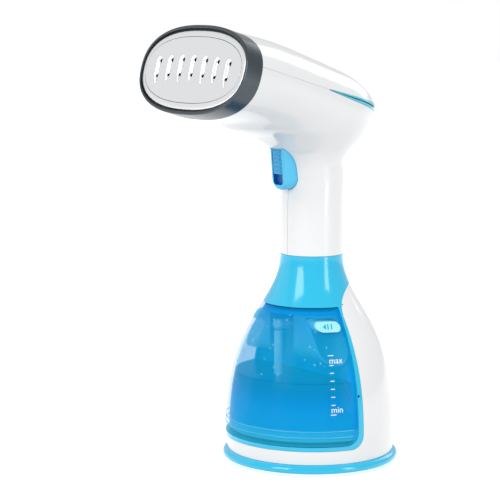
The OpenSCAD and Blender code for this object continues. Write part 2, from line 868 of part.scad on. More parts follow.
module pump_tube() {
    color("#E8E4D8") pump_axis() difference() {
        union() {
            cylinder(r = pump_tube_r, h = pump_len);
            translate([0, 0, -nipple_len]) cylinder(r = nipple_r, h = pump_len + 2 * nipple_len);
        }
        translate([0, 0, chamber_low]) cylinder(r = piston_r + run_gap, h = chamber_len);
        translate([0, 0, -nipple_len - 1]) cylinder(r = 1.1, h = pump_len + 2 * nipple_len + 2);
    }
}

module pump_bobbin() {
    color("#2E3236") pump_axis() translate([0, 0, coil_low]) difference() {
        union() {
            cylinder(r = pump_tube_r + 1.6, h = coil_len);
            cylinder(r = coil_r + 1, h = 1.5);
            translate([0, 0, coil_len - 1.5]) cylinder(r = coil_r + 1, h = 1.5);
        }
        translate([0, 0, -1]) cylinder(r = pump_tube_r + fit_gap, h = coil_len + 2);
    }
}

module pump_winding() {
    color("#B5652B") pump_axis() translate([0, 0, coil_low + 1.6]) difference() {
        cylinder(r = coil_r, h = coil_len - 3.2);
        translate([0, 0, -1]) cylinder(r = pump_tube_r + 1.7, h = coil_len);
    }
}

module pump_yoke() {
    half = coil_r + 1.3;
    low = coil_low - yoke_t - 0.1;
    high = coil_low + coil_len + 0.1;
    color("#9DA3A8") pump_axis() difference() {
        union() {
            for (z = [low, high]) translate([-half, -half, z]) cube([2 * half, 2 * half + yoke_t, yoke_t]);
            translate([-half, half, low]) cube([2 * half, yoke_t, high - low + yoke_t]);
        }
        translate([0, 0, low - 1]) cylinder(r = pump_tube_r + fit_gap, h = coil_len + 8);
    }
}

module pump_piston() {
    color("#AAB0B5") pump_axis() translate([0, 0, chamber_low + spring_len]) difference() {
        cylinder(r = piston_r, h = piston_len);
        translate([0, 0, -1]) cylinder(r = 1, h = piston_len + 2);
    }
}

// Helical spring standing on z = 0, as a swept round wire
module coil_spring(radius, wire, length, turns, sides = 6, per_turn = 12) {
    rings = turns * per_turn + 1;
    rise = (length - 2 * wire) / (rings - 1);
    points = [for (i = [0 : rings - 1], j = [0 : sides - 1])
        let (a = 360 * i / per_turn, b = 360 * j / sides)
        [(radius + wire * cos(b)) * cos(a), (radius + wire * cos(b)) * sin(a),
            wire + i * rise + wire * sin(b)]];
    walls = [for (i = [0 : rings - 2], j = [0 : sides - 1]) let (k = (j + 1) % sides)
        [i * sides + j, (i + 1) * sides + j, (i + 1) * sides + k, i * sides + k]];
    first = [for (j = [0 : sides - 1]) j];
    last = [for (j = [0 : sides - 1]) rings * sides - 1 - j];
    polyhedron(points, concat(walls, [first], [last]), convexity = 6);
}

module pump_spring() {
    color("#C9CDD0") pump_axis() translate([0, 0, chamber_low + 0.1])
        coil_spring(2.1, 0.35, spring_len - 0.2, 4);
}

grommet_r = pump_tube_r + 2.4;
arm_levels = [5, pump_len - 8];
arm_t = 3;

module pump_grommets() {
    color("#1C1E20") pump_axis() for (z = arm_levels) translate([0, 0, z]) difference() {
        cylinder(r = grommet_r, h = arm_t);
        translate([0, 0, -1]) cylinder(r = pump_tube_r + 0.05, h = arm_t + 2);
    }
}

arm_gap = hose_r + 1.2;
arm_w = 3.4;

module pump_arm_bars(gap = 0) {
    for (z = arm_levels, side = [-1, 1])
        translate([side * (arm_gap + arm_w / 2), 0, pump_z + z + arm_t / 2])
            cube([arm_w + 2 * gap, 2 * (pump_y - 4), arm_t + 2 * gap], center = true);
}

module pump_cradle() {
    color("#DADFE2") difference() {
        union() {
            pump_axis() for (z = arm_levels) translate([0, 0, z]) cylinder(r = grommet_r + 2.2, h = arm_t);
            intersection() {
                pump_arm_bars();
                slab_y(liner_y + 0.3, big);
            }
        }
        pump_axis() translate([0, 0, -1]) cylinder(r = grommet_r + 0.1, h = pump_len);
    }
}

// ---- Hoses ----
// Smooth route through chosen points, and a round tube along it
function smooth(a, b, c, d, t) =
    0.5 * ((2 * b) + (c - a) * t + (2 * a - 5 * b + 4 * c - d) * t * t + (3 * b - a - 3 * c + d) * t * t * t);
function route(p, per = 5) = concat(
    [for (i = [0 : len(p) - 2], k = [0 : per - 1])
        smooth(p[max(i - 1, 0)], p[i], p[i + 1], p[min(i + 2, len(p) - 1)], k / per)],
    [p[len(p) - 1]]);
function tangent(p, i) = unit(p[min(i + 1, len(p) - 1)] - p[max(i - 1, 0)]);
function ring_at(p, i, r, sides) = let (t = tangent(p, i), b = unit(cross(t, [1, 0, 0])), n = cross(b, t))
    [for (j = [0 : sides - 1]) let (a = 360 * j / sides) p[i] + r * (cos(a) * n + sin(a) * b)];

module tube_along(p, r, sides = 12) {
    n = len(p);
    points = [for (i = [0 : n - 1]) each ring_at(p, i, r, sides)];
    walls = [for (i = [0 : n - 2], j = [0 : sides - 1]) let (k = (j + 1) % sides)
        [i * sides + j, i * sides + k, (i + 1) * sides + k, (i + 1) * sides + j]];
    first = [for (j = [0 : sides - 1]) sides - 1 - j];
    last = [for (j = [0 : sides - 1]) (n - 1) * sides + j];
    polyhedron(points, concat(walls, [first], [last]), convexity = 8);
}

barb_y = liner_back + 5.4;
lower_top = outlet_z - socket_outer_r - 6.2;
bend_r = (pump_y - barb_y) / 2;

// From the dock socket's barb straight down, then a half turn up to the pump's inlet
module hose_lower() {
    bend_z = pump_z - nipple_len - 0.2;
    color("#E6E1D6") {
        translate([0, barb_y, bend_z]) cylinder(r = hose_r, h = lower_top - bend_z);
        translate([0, barb_y + bend_r, bend_z]) rotate([90, 0, 90]) rotate([0, 0, 180])
            rotate_extrude(angle = 180) translate([bend_r, 0]) circle(hose_r, $fn = 48);
    }
}

// Point on the head's axis, s behind the steam plate
function on_head(s) = plate_centre + s * [0, cos(head_tilt), -sin(head_tilt)];
pump_out = pump_z + pump_len + nipple_len + 0.2;
fitting_s = fitting_len - cover_z + 0.2;

module hose_upper() {
    points = [
        [0, pump_y, pump_out], [0, pump_y, pump_out + 7], [0, 15, collar_top - 16], [0, 6.2, collar_top + 4],
        [0, 6, flare_z - 10], [0, 5, flare_z + 14], [0, -10, flare_z + 36],
        on_head(fitting_s + 26), on_head(fitting_s + 8), on_head(fitting_s)
    ];
    color("#E6E1D6") tube_along(route(points), hose_r);
}

module clip_ring() {
    difference() {
        cylinder(r = hose_r + 1.5, h = 3.5);
        translate([0, 0, -1]) cylinder(r = hose_r + 0.7, h = 6);
    }
}

module hose_clips() {
    color("#B8BCC0") {
        translate([0, pump_y, pump_out + 1]) clip_ring();
        at_plate() translate([0, 0, cover_z - fitting_len - 5.5]) clip_ring();
    }
}

// ---- Trigger, its lock and its switch ----
pin_z = flare_z + pin_rise;
carrier_y = -3.6;
carrier_t = 2;
ear_x = slot_half + 0.4;
ear_t = 2;
ear_r = 2.9;

module across(y, z) {
    translate([0, y, z]) rotate([0, 90, 0]) children();
}

module trigger_carrier() {
    color("#DADFE2") difference() {
        union() {
            translate([-ear_x - ear_t, carrier_y, flare_z - 12]) cube([2 * (ear_x + ear_t), carrier_t, 32]);
            for (side = [-1, 1]) translate([side * (ear_x + ear_t / 2), 0, 0]) {
                across(-pin_y, pin_z) cylinder(r = ear_r, h = ear_t, center = true);
                translate([-ear_t / 2, -pin_y, pin_z - ear_r])
                    cube([ear_t, pin_y + carrier_y + 0.5, 2 * ear_r]);
            }
            translate([-4, carrier_y - 6.2, flare_z - 9.6]) cube([8, 6.7, 2.2]);
        }
        across(-pin_y, pin_z) cylinder(r = pin_r + fit_gap, h = big, center = true);
    }
}

module trigger_pin() {
    color("#C4C8CC") across(-pin_y, pin_z) cylinder(r = pin_r, h = 2 * (ear_x + ear_t) - 0.6, center = true);
}

face_top = [0, -pin_y - 13.2, trigger_top - 1.2];

// Frame of the trigger's front face: z runs up the face and y points into the trigger
module at_face() {
    translate(face_top) rotate([face_lean, 0, 0]) children();
}

function face_y(z) = face_top[1] + (face_top[2] - z) * tan(face_lean);
trigger_back = -pin_y + 3;
lock_floor = 2.6;
lock_room = lock_len + lock_travel + 1;

module trigger() {
    low_r = 2.8;
    outline = concat(
        [[trigger_back, trigger_low + 4], [trigger_back, trigger_top], [face_top[1] + 1.6, trigger_top],
         [face_top[1] + 0.4, trigger_top - 0.4], [face_top[1], face_top[2]]],
        arc([face_y(trigger_low + low_r) + low_r, trigger_low + low_r], low_r, low_r, 180 + face_lean,
            270, 5),
        [[trigger_back - 3, trigger_low]]);
    color("#4FB4E8") difference() {
        side_block(outline, trigger_w);
        at_face() translate([-lock_w / 2 - 0.3, -1, -lock_room - 0.6])
            cube([lock_w + 0.6, 1 + lock_floor, lock_room]);
        translate([-trigger_w / 2 + 1.8, face_top[1] + 6.8, trigger_low + 3.5])
            cube([trigger_w - 3.6, 5, 14]);
        across(-pin_y, pin_z) cylinder(r = pin_r + run_gap, h = big, center = true);
    }
}

module trigger_spring() {
    color("#C9CDD0") translate([0, carrier_y - 0.2, flare_z + 10]) rotate([90, 0, 0])
        coil_spring(2.2, 0.35, -trigger_back + carrier_y - 0.5, 5);
}

module trigger_lock() {
    color("#1E6FC4") at_face() translate([0, 0, -0.9 - lock_len]) {
        translate([-lock_w / 2, 0.25, 0]) cube([lock_w, lock_floor - 0.5, lock_len]);
        for (i = [0 : lock_ridges - 1])
            translate([-lock_w / 2 + 0.6, -0.55, lock_len * (i + 0.75) / (lock_ridges + 0.5)])
                cube([lock_w - 1.2, 0.9, 1.2]);
    }
}

switch_y = carrier_y - 6.2;
switch_z = flare_z - 7.3;
plunger_z = flare_z - 1;
plunger_r = 1.2;

module micro_switch() {
    color("#1D1F22") difference() {
        union() {
            translate([-2.9, switch_y, switch_z]) cube([5.8, -switch_y + carrier_y - 0.05, 12.8]);
            for (z = [2.4, 10.4]) translate([-2.85 - 3.2, switch_y + 2.2, switch_z + z - 0.4])
                cube([3.3, 2, 0.8]);
        }
        translate([0, switch_y - 1, plunger_z]) rotate([-90, 0, 0])
            cylinder(r = plunger_r + run_gap, h = 4.6);
    }
}

module switch_plunger() {
    color("#C8402E") translate([0, trigger_back + 0.35, plunger_z]) rotate([-90, 0, 0])
        cylinder(r = plunger_r, h = switch_y - trigger_back + 0.4);
}

// ---- Electrical pieces in the rear compartment ----
module control_board() {
    color("#2F7A4A") translate([-38, liner_back + 3, 22]) cube([20, 1.6, 20]);
    color("#22252A") translate([-34, liner_back + 4.6, 26]) cube([12, 7, 8]);
    color("#C9CDD0") for (z = [23, 39.5]) translate([-28, liner_back + 0.1, z + 0.7])
        rotate([-90, 0, 0]) cylinder(r = 1.5, h = 2.9);
}

module terminal_block() {
    color("#F0E6C8") translate([20, liner_back + 0.1, 22]) difference() {
        cube([16, 9, 11]);
        for (x = [4, 8, 12]) translate([x, 4.5, -1]) cylinder(r = 1.3, h = 13);
    }
}

module gland_axis() {
    translate([0, 0, inlet_z]) rotate([-90, 0, 0]) intersection() {
        children();
        translate([-big / 2, -big / 2, 0]) cube(big);
    }
}

gland_out = 5;
gland_face = bell_r + gland_out;

module cord_gland() {
    color("#E8EBED") difference() {
        union() {
            gland_axis() translate([0, 0, gland_face - gland_len]) cylinder(r = gland_r, h = gland_len);
            gland_axis() translate([0, 0, gland_face - gland_len]) cylinder(r = gland_r + 1.6, h = 3);
        }
        gland_axis() translate([0, 0, gland_face - gland_len - 1])
            cylinder(r = inlet_bore_r, h = gland_len + 2);
    }
}

module cord_clamp() {
    y = gland_face - gland_len - 7;
    color("#DADFE2") translate([-9, y, deck_top + 0.1]) difference() {
        cube([18, 5, inlet_z - deck_top + 6]);
        translate([9, -1, inlet_z - deck_top - 0.1]) rotate([-90, 0, 0])
            cylinder(r = inlet_bore_r - 0.2, h = 7);
    }
}

// ---- Dock on the liner, which the tank's outlet plugs into ----
nipple_tip = liner_y + socket_depth - 1;

module dock_socket() {
    back = liner_y + socket_depth + 1.5;
    color("#D8DDE0") difference() {
        union() {
            translate([0, liner_y, outlet_z]) rotate([-90, 0, 0])
                cylinder(r = socket_outer_r, h = back - liner_y);
            translate([0, barb_y, lower_top])
                cylinder(r = nipple_r, h = outlet_z - lower_top - socket_r + 0.5);
            translate([0, liner_back + 0.05, outlet_z]) rotate([-90, 0, 0])
                cylinder(r = socket_outer_r + 2, h = 1.5);
        }
        translate([0, liner_y - 1, outlet_z]) rotate([-90, 0, 0])
            cylinder(r = socket_r, h = socket_depth + 1);
        translate([0, barb_y, lower_top - 1]) cylinder(r = 1.2, h = outlet_z - lower_top + 1);
    }
}

// ---- Removable tank ----
// Window of a release tab, an upright pill seen from the side, through the wall along X
module tab_pill(grow, from, to) {
    half = tab_h / 2 + grow;
    run = (tab_w - tab_h) / 2;
    translate([from, 0, 0]) rotate([90, 0, 90]) linear_extrude(to - from) {
        translate([-tab_y - run, tab_z]) circle(half, $fn = 48);
        translate([-tab_y + run, tab_z]) circle(half, $fn = 48);
        translate([-tab_y - run, tab_z - half]) square([2 * run, 2 * half]);
    }
}

module tank_front() {
    color("#7FDDF5", 0.55) difference() {
        union() {
            intersection() {
                difference() {
                    bell_solid(0);
                    bell_solid(tank_wall);
                }
                tank_region(slide_gap);
            }
            intersection() {
                bell_solid(tank_wall - 0.1);
                slab_y(-big / 2, tank_inner_rear - 0.05);
                slab_z(tank_z, tank_z + tank_plate);
            }
        }
        for (side = [0, 1]) mirror([side, 0, 0]) tab_pill(button_gap, pocket_x + 4, big / 2);
    }
}

// The roof is welded in below the tank's rim and holds the filler hole
module tank_roof() {
    color("#6FD3F0", 0.7) difference() {
        intersection() {
            bell_solid(tank_wall + 0.02);
            slab_y(-big / 2, tank_inner_rear - 0.05);
            slab_z(roof_z, roof_top);
        }
        for (side = [0, 1]) mirror([side, 0, 0]) tab_pill(button_gap, pocket_x + 4, big / 2);
        translate([filler_x, -filler_y, roof_z - 1]) cylinder(r = filler_r, h = tank_plate + 2);
    }
}

module tank_back() {
    color("#6FD3F0", 0.7) difference() {
        union() {
            intersection() {
                bell_solid(lap_inset + 0.05);
                slab_y(tank_inner_rear, tank_rear);
                slab_z(tank_z, tank_rim);
            }
            intersection() {
                difference() {
                    bell_solid(lap_inset + 0.05);
                    bell_solid(lap_inset + 1.6);
                }
                slab_y(tank_inner_rear - 4, tank_inner_rear + 0.1);
                slab_z(tank_z + tank_plate + 0.05, pocket_z - 1);
            }
            outlet_axis() translate([0, 0, tank_rear - 0.1])
                cylinder(r = outlet_r, h = nipple_tip - tank_rear);
            outlet_axis() translate([0, 0, tank_inner_rear - 0.05]) cylinder(r = outlet_r + 1.8, h = 0.1);
        }
        outlet_axis() translate([0, 0, tank_inner_rear - 6]) cylinder(r = water_bore, h = 30);
    }
}

module outlet_axis() {
    translate([0, 0, outlet_z]) rotate([-90, 0, 0]) children();
}

ring_wire = 0.85;

module outlet_ring() {
    color("#22262A") outlet_axis() translate([0, 0, nipple_tip - 2.6])
        rotate_extrude() translate([outlet_r + ring_wire + 0.05, 0]) circle(ring_wire, $fn = 32);
}

elbow_r = water_bore + 1.6;

module suction_elbow() {
    color("#BFEAF5", 0.8) difference() {
        union() {
            translate([0, -suction_y, outlet_z]) rotate([-90, 0, 0])
                cylinder(r = elbow_r, h = suction_y + tank_inner_rear - 0.1);
            translate([0, -suction_y, outlet_z]) sphere(r = elbow_r + 0.4);
        }
        translate([0, -suction_y, outlet_z]) rotate([-90, 0, 0]) cylinder(r = water_bore, h = suction_y);
        translate([0, -suction_y, outlet_z - 10]) cylinder(r = water_bore, h = 10);
    }
}

tube_top = outlet_z - elbow_r - 0.8;

module suction_tube() {
    color("#E9F6FA", 0.8) translate([0, -suction_y, 0]) difference() {
        union() {
            translate([0, 0, weight_z + weight_h - 1])
                cylinder(r = suction_r, h = tube_top - weight_z - weight_h + 1);
            translate([0, 0, weight_z]) rotate_extrude()
                polygon(concat([[0, 0], [weight_r, 0], [weight_r, 3]],
                    arc([weight_r + 1, weight_h], weight_r - suction_r, weight_h - 3, 270, 180, 6),
                        [[0, weight_h]]));
        }
        translate([0, 0, weight_z - 1]) cylinder(r = water_bore, h = tube_top - weight_z + 2);
    }
}

plug_flange = 1.3;

module filler_plug() {
    color("#DDF3F8") translate([filler_x, -filler_y, 0]) {
        translate([0, 0, roof_z - 1.5]) cylinder(r = filler_r - 0.1 - run_gap, h = tank_plate + 1.6);
        translate([0, 0, roof_top + 0.05]) cylinder(r = filler_r + 1.9, h = plug_flange);
        translate([-0.8, -2.5, roof_top + plug_flange])
            cube([1.6, 5, tank_rim - roof_top - plug_flange - 0.2]);
    }
}

pocket_half = tab_w / 2 + 2.4;
pocket_top = roof_z - 0.1;

// Round-bottomed pocket behind a tab, drawn for the right side
module pocket(side) {
    mirror([side, 0, 0]) difference() {
        intersection() {
            bell_solid(tank_wall + 0.05);
            pocket_block(0, pocket_x);
        }
        intersection() {
            bell_solid(tank_wall - 1);
            pocket_block(pocket_wall, pocket_x + pocket_wall);
        }
    }
}

module pocket_block(inset, from) {
    half = pocket_half - inset;
    translate([from, 0, 0]) rotate([90, 0, 90]) linear_extrude(big / 2) {
        translate([-tab_y, pocket_z + half + inset]) circle(half, $fn = 64);
        translate([-tab_y - half, pocket_z + half + inset])
            square([2 * half, pocket_top - inset - pocket_z - half - inset]);
    }
}

module latch_pockets() {
    color("#8FE0F2", 0.6) for (side = [0, 1]) pocket(side);
}

spring_room = 8;
flange_x = pocket_x + spring_room + tab_travel;
tab_flange = 0.8;
tab_flange_t = 1.5;

module release_tab(side) {
    color("#7DE6F7") mirror([side, 0, 0]) {
        intersection() {
            tab_pill(0, flange_x - tab_flange_t, big / 2);
            bell_solid(-tab_raise);
        }
        tab_pill(tab_flange, flange_x - tab_flange_t, flange_x);
    }
}

module release_tab_right() {
    release_tab(0);
}

module release_tab_left() {
    release_tab(1);
}

module tab_spring(side) {
    room = flange_x - tab_flange_t - pocket_x - pocket_wall;
    color("#C9CDD0") mirror([side, 0, 0]) translate([pocket_x + pocket_wall + 0.1, -tab_y, tab_z])
        rotate([0, 90, 0]) coil_spring(2.3, 0.35, room - 0.2, 5);
}

module tab_spring_right() {
    tab_spring(0);
}

module tab_spring_left() {
    tab_spring(1);
}

anti_slip_pad();
base_plate();
base_ring();
base_screws();
rear_housing();
collar_frame();
tank_bay_liner();
body_left();
body_right();
head_cover();
case_screws();
accent_strip();
accent_groove();
bezel();
plate_gasket();
steam_plate();
heater_block();
heating_element();
chamber_gasket();
chamber_cover();
heater_screws();
inlet_fitting();
thermostat();
thermal_fuse();
heat_shield();
pump_tube();
pump_bobbin();
pump_winding();
pump_yoke();
pump_piston();
pump_spring();
pump_grommets();
pump_cradle();
hose_lower();
hose_upper();
hose_clips();
trigger_carrier();
trigger_pin();
trigger();
trigger_spring();
trigger_lock();
micro_switch();
switch_plunger();
control_board();
terminal_block();
cord_gland();
cord_clamp();
dock_socket();
tank_front();
tank_roof();
tank_back();
outlet_ring();
suction_elbow();
suction_tube();
filler_plug();
latch_pockets();
release_tab_right();
release_tab_left();
tab_spring_right();
tab_spring_left();
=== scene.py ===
# %% [markdown]
# # A handheld garment steamer, dressed in Blender
# The steamer stands on a flared blue foot. A bell-shaped body holds a clear blue water tank in front and
# a white housing behind, a white handle rises from it, and the handle flares into a head that carries an
# oval steam plate. The engineering model gives every part its place. This lesson builds the surfaces that
# the eye sees around it.

# %% Load the frame
import math

import bmesh
import bpy
import numpy as np
from mathutils import Matrix, Vector


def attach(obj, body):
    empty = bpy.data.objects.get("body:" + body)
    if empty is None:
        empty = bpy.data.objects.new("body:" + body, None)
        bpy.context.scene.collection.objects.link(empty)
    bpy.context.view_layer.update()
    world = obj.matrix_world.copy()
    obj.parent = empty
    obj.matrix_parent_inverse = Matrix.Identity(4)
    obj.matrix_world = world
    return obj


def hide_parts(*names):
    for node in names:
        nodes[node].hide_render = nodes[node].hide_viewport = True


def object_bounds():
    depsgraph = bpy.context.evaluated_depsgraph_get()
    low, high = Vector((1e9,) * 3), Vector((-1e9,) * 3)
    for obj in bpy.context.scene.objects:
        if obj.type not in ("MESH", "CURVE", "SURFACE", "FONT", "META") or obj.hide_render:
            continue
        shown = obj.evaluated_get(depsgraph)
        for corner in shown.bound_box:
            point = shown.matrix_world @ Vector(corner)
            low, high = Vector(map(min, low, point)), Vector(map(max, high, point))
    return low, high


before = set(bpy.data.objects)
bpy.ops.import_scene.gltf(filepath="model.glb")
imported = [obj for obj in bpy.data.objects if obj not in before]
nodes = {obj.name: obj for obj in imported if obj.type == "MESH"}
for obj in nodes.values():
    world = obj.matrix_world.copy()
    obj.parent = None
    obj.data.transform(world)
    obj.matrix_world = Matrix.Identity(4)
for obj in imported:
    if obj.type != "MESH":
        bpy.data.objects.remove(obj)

cad_low, cad_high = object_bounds()
MM = 0.001
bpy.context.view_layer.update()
print("engineering box in mm:", [round(v / MM, 1) for v in (*cad_low, *cad_high)])

# %% [markdown]
# ## The camera
# The steamer is seen from its right front, a little above its middle, through a long lens. A long lens
# keeps upright lines upright. The camera stands on a circle round the neck's axis, and is then turned a
# little to the side and down.

# %% Place the camera
CAMERA_AZIMUTH, CAMERA_DISTANCE, CAMERA_HEIGHT = 50.0, 1177.9, 293.7
CAMERA_YAW, CAMERA_PITCH, CAMERA_ROLL = -1.935, 7.607, 0.278
CAMERA_LENS, CAMERA_SENSOR = 132.5, 36.0


def aim_camera():
    """A camera whose side, up and back directions come from its azimuth, yaw, pitch and roll."""
    angles = (CAMERA_AZIMUTH, CAMERA_YAW, CAMERA_PITCH, CAMERA_ROLL)
    azimuth, yaw, pitch, roll = (math.radians(v) for v in angles)
    inward = Vector((-math.sin(azimuth), math.cos(azimuth), 0))
    side = Vector((math.cos(azimuth), math.sin(azimuth), 0))
    level = inward * math.cos(yaw) + side * math.sin(yaw)
    side = side * math.cos(yaw) - inward * math.sin(yaw)
    ahead = level * math.cos(pitch) - Vector((0, 0, 1)) * math.sin(pitch)
    up = Vector((0, 0, 1)) * math.cos(pitch) + level * math.sin(pitch)
    side, up = side * math.cos(roll) + up * math.sin(roll), up * math.cos(roll) - side * math.sin(roll)
    data = bpy.data.cameras.new("camera")
    data.lens, data.sensor_width = CAMERA_LENS, CAMERA_SENSOR
    data.clip_start, data.clip_end = 0.05, 20
    camera = bpy.data.objects.new("camera", data)
    bpy.context.scene.collection.objects.link(camera)
    place = Vector((math.sin(azimuth), -math.cos(azimuth), 0)) * CAMERA_DISTANCE
    place += Vector((0, 0, CAMERA_HEIGHT))
    turn = Matrix((side, up, -ahead)).transposed().to_4x4()
    camera.matrix_world = Matrix.Translation(place * MM) @ turn
    bpy.context.scene.camera = camera
    return camera


camera = aim_camera()
print("camera at", [round(v, 3) for v in camera.location])

# %% [markdown]
# ## The studio
# The steamer stands on a white floor in white light. Large soft lights give long white streaks on the
# glossy curves. The floor is hidden from diffuse rays, so that it doesn't light the head from below and
# flatten its shape.

# %% Floor and lights
STUDIO_GLOW = 0.68


def to_linear(hex_colour, alpha=1.0):
    """An sRGB hex colour as the linear values that shaders use."""
    parts = [int(hex_colour[i:i + 2], 16) / 255 for i in (1, 3, 5)]
    return (*[v / 12.92 if v <= 0.04045 else ((v + 0.055) / 1.055) ** 2.4 for v in parts], alpha)


def node(tree, kind, inputs=None, **settings):
    """Adds a node. settings are its properties; inputs are values for its sockets, or sockets that
    feed them."""
    made = tree.nodes.new(kind)
    for key, value in settings.items():
        setattr(made, key, value)
    for key, value in (inputs or {}).items():
        if isinstance(value, bpy.types.NodeSocket):
            tree.links.new(value, made.inputs[key])
        else:
            made.inputs[key].default_value = value
    return made


def area_light(name, place, target, size, power, tint="#FFFFFF"):
    """A rectangular soft light at place that faces target."""
    data = bpy.data.lights.new(name, "AREA")
    data.shape, data.size, data.size_y = "RECTANGLE", size[0], size[1]
    data.energy, data.color = power, to_linear(tint)[:3]
    lamp = bpy.data.objects.new(name, data)
    bpy.context.scene.collection.objects.link(lamp)
    lamp.location = place
    lamp.rotation_euler = (Vector(target) - Vector(place)).to_track_quat("-Z", "Y").to_euler()
    return lamp


def build_studio():
    """An even world light, a pale floor, and four soft lights."""
    world = bpy.data.worlds.new("studio")
    bpy.context.scene.world = world
    world.use_nodes = True
    seen = world.node_tree.nodes["Background"]
    seen.inputs["Color"].default_value, seen.inputs["Strength"].default_value = to_linear("#FFFFFF"), 1.0
    glow = node(world.node_tree, "ShaderNodeBackground",
        {"Color": to_linear("#FFFFFF"), "Strength": STUDIO_GLOW})
    rays = node(world.node_tree, "ShaderNodeLightPath")
    mixed = node(world.node_tree, "ShaderNodeMixShader",
        {0: rays.outputs["Is Camera Ray"], 1: glow.outputs[0], 2: seen.outputs[0]})
    world.node_tree.links.new(mixed.outputs[0], world.node_tree.nodes["World Output"].inputs["Surface"])
    mesh = bpy.data.meshes.new("studio_floor")
    mesh.from_pydata([(-6, -6, 0), (6, -6, 0), (6, 6, 0), (-6, 6, 0)], [], [(0, 1, 2, 3)])
    floor = bpy.data.objects.new("studio_floor", mesh)
    bpy.context.scene.collection.objects.link(floor)
    floor.visible_diffuse = False
    pale = bpy.data.materials.new("pale_floor")
    pale.use_nodes = True
    shader = pale.node_tree.nodes["Principled BSDF"]
    shader.inputs["Base Color"].default_value = to_linear("#F7F7F7")
    shader.inputs["Roughness"].default_value = 0.85
    shader.inputs["Emission Color"].default_value = to_linear("#FFFFFF")
    shader.inputs["Emission Strength"].default_value = 0.6
    mesh.materials.append(pale)
    area_light("key_light", (0.3, -1.6, 0.95), (0, 0, 0.15), (0.7, 1.2), 11)
    area_light("side_light", (1.5, 0.35, 0.55), (0, 0, 0.15), (0.35, 1.3), 6)
    area_light("plate_light", (-1.0, -0.75, 0.62), (0, -0.1, 0.25), (1.1, 1.1), 1.1)
    area_light("back_light", (-0.4, 1.4, 0.9), (0, 0, 0.2), (0.8, 0.8), 3)


build_studio()
bpy.context.scene.view_settings.view_transform = "Standard"

# %% [markdown]
# ## The materials
# Most of the steamer is injection-moulded ABS with a polished mould: a smooth gloss with a very faint
# waviness. The tank is clear tinted plastic: its wall is partly see-through, and the water and the blue
# rear wall show through it. Each colour stands on the shader's own socket, and only the tank's and the
# water's follow the height, as painted light and shade. Noise in millimetre scales gives the roughness
# and the bump, so that the gloss is never perfectly even.

# %% Material maker


def make_material(name, colour, roughness, detail_mm=2.0, bump_mm=0.01, spread=0.05, **sockets):
    """A Principled material; noise of detail_mm varies its roughness by spread and raises a bump of
    bump_mm."""
    made = bpy.data.materials.new(name)
    made.use_nodes = True
    tree = made.node_tree
    shader = tree.nodes["Principled BSDF"]
    shader.inputs["Base Color"].default_value = to_linear(colour)
    for key, value in sockets.items():
        shader.inputs[key.replace("_", " ")].default_value = value
    place = node(tree, "ShaderNodeTexCoord")
    grain = node(tree, "ShaderNodeTexNoise",
        {"Vector": place.outputs["Object"], "Scale": 1 / (detail_mm * MM), "Detail": 3.0})
    rough = node(tree, "ShaderNodeMapRange",
        {"Value": grain.outputs["Fac"], "From Min": 0.3, "From Max": 0.7,
         "To Min": roughness - spread, "To Max": roughness + spread})
    tree.links.new(rough.outputs["Result"], shader.inputs["Roughness"])
    bump = node(tree, "ShaderNodeBump",
        {"Height": grain.outputs["Fac"], "Distance": bump_mm * MM, "Strength": 1.0})
    tree.links.new(bump.outputs["Normal"], shader.inputs["Normal"])
    return made


# Polished ABS mouldings: a hard clear gloss over plain colour
WHITE_ABS = make_material("abs_white_polished", "#F4F5F6", 0.16, 6.0, 0.02, 0.03, IOR=1.54,
    Coat_Weight=0.25, Coat_Roughness=0.05)
BLUE_ABS = make_material("abs_sky_blue_polished", "#10C4EE", 0.15, 6.0, 0.02, 0.03, IOR=1.54,
    Coat_Weight=0.35, Coat_Roughness=0.05)
TRIGGER_ABS = make_material("abs_cornflower_satin", "#52CCF8", 0.3, 0.8, 0.01, 0.05, IOR=1.54)
SLIDER_ABS = make_material("abs_deep_blue_satin", "#22AEE2", 0.32, 0.8, 0.01, 0.05, IOR=1.54)
ACCENT_ABS = make_material("abs_turquoise_pearl", "#55CFE6", 0.22, 3.0, 0.01, 0.04, IOR=1.54,
    Metallic=0.35, Coat_Weight=0.4, Coat_Roughness=0.08)
GROOVE_ABS = make_material("abs_dark_teal_satin", "#064A5A", 0.35, 1.0, 0.01, 0.05, IOR=1.5)
# Vacuum-metallised and lacquered bezel: dark, with a broad metallic sheen
BEZEL_PAINT = make_material("lacquered_gunmetal", "#4A5258", 0.27, 0.5, 0.004, 0.05, Metallic=0.75)
# Bead-blasted aluminium steam plate, and the die-cast block behind it
PLATE_METAL = make_material("aluminium_satin", "#E2E3E4", 0.33, 0.35, 0.006, 0.05, Metallic=1.0)
DIECAST = make_material("aluminium_diecast", "#5E6164", 0.5, 0.8, 0.03, 0.08, Metallic=1.0)
# Soft and hidden parts
RUBBER = make_material("silicone_black_moulded", "#101214", 0.45, 0.7, 0.02, 0.08, IOR=1.41)
STEEL = make_material("steel_zinc_plated", "#B9BDC1", 0.28, 0.6, 0.005, 0.06, Metallic=1.0)
NATURAL_PP = make_material("polypropylene_natural", "#E4E6E6", 0.4, 1.5, 0.01, 0.06, IOR=1.49)
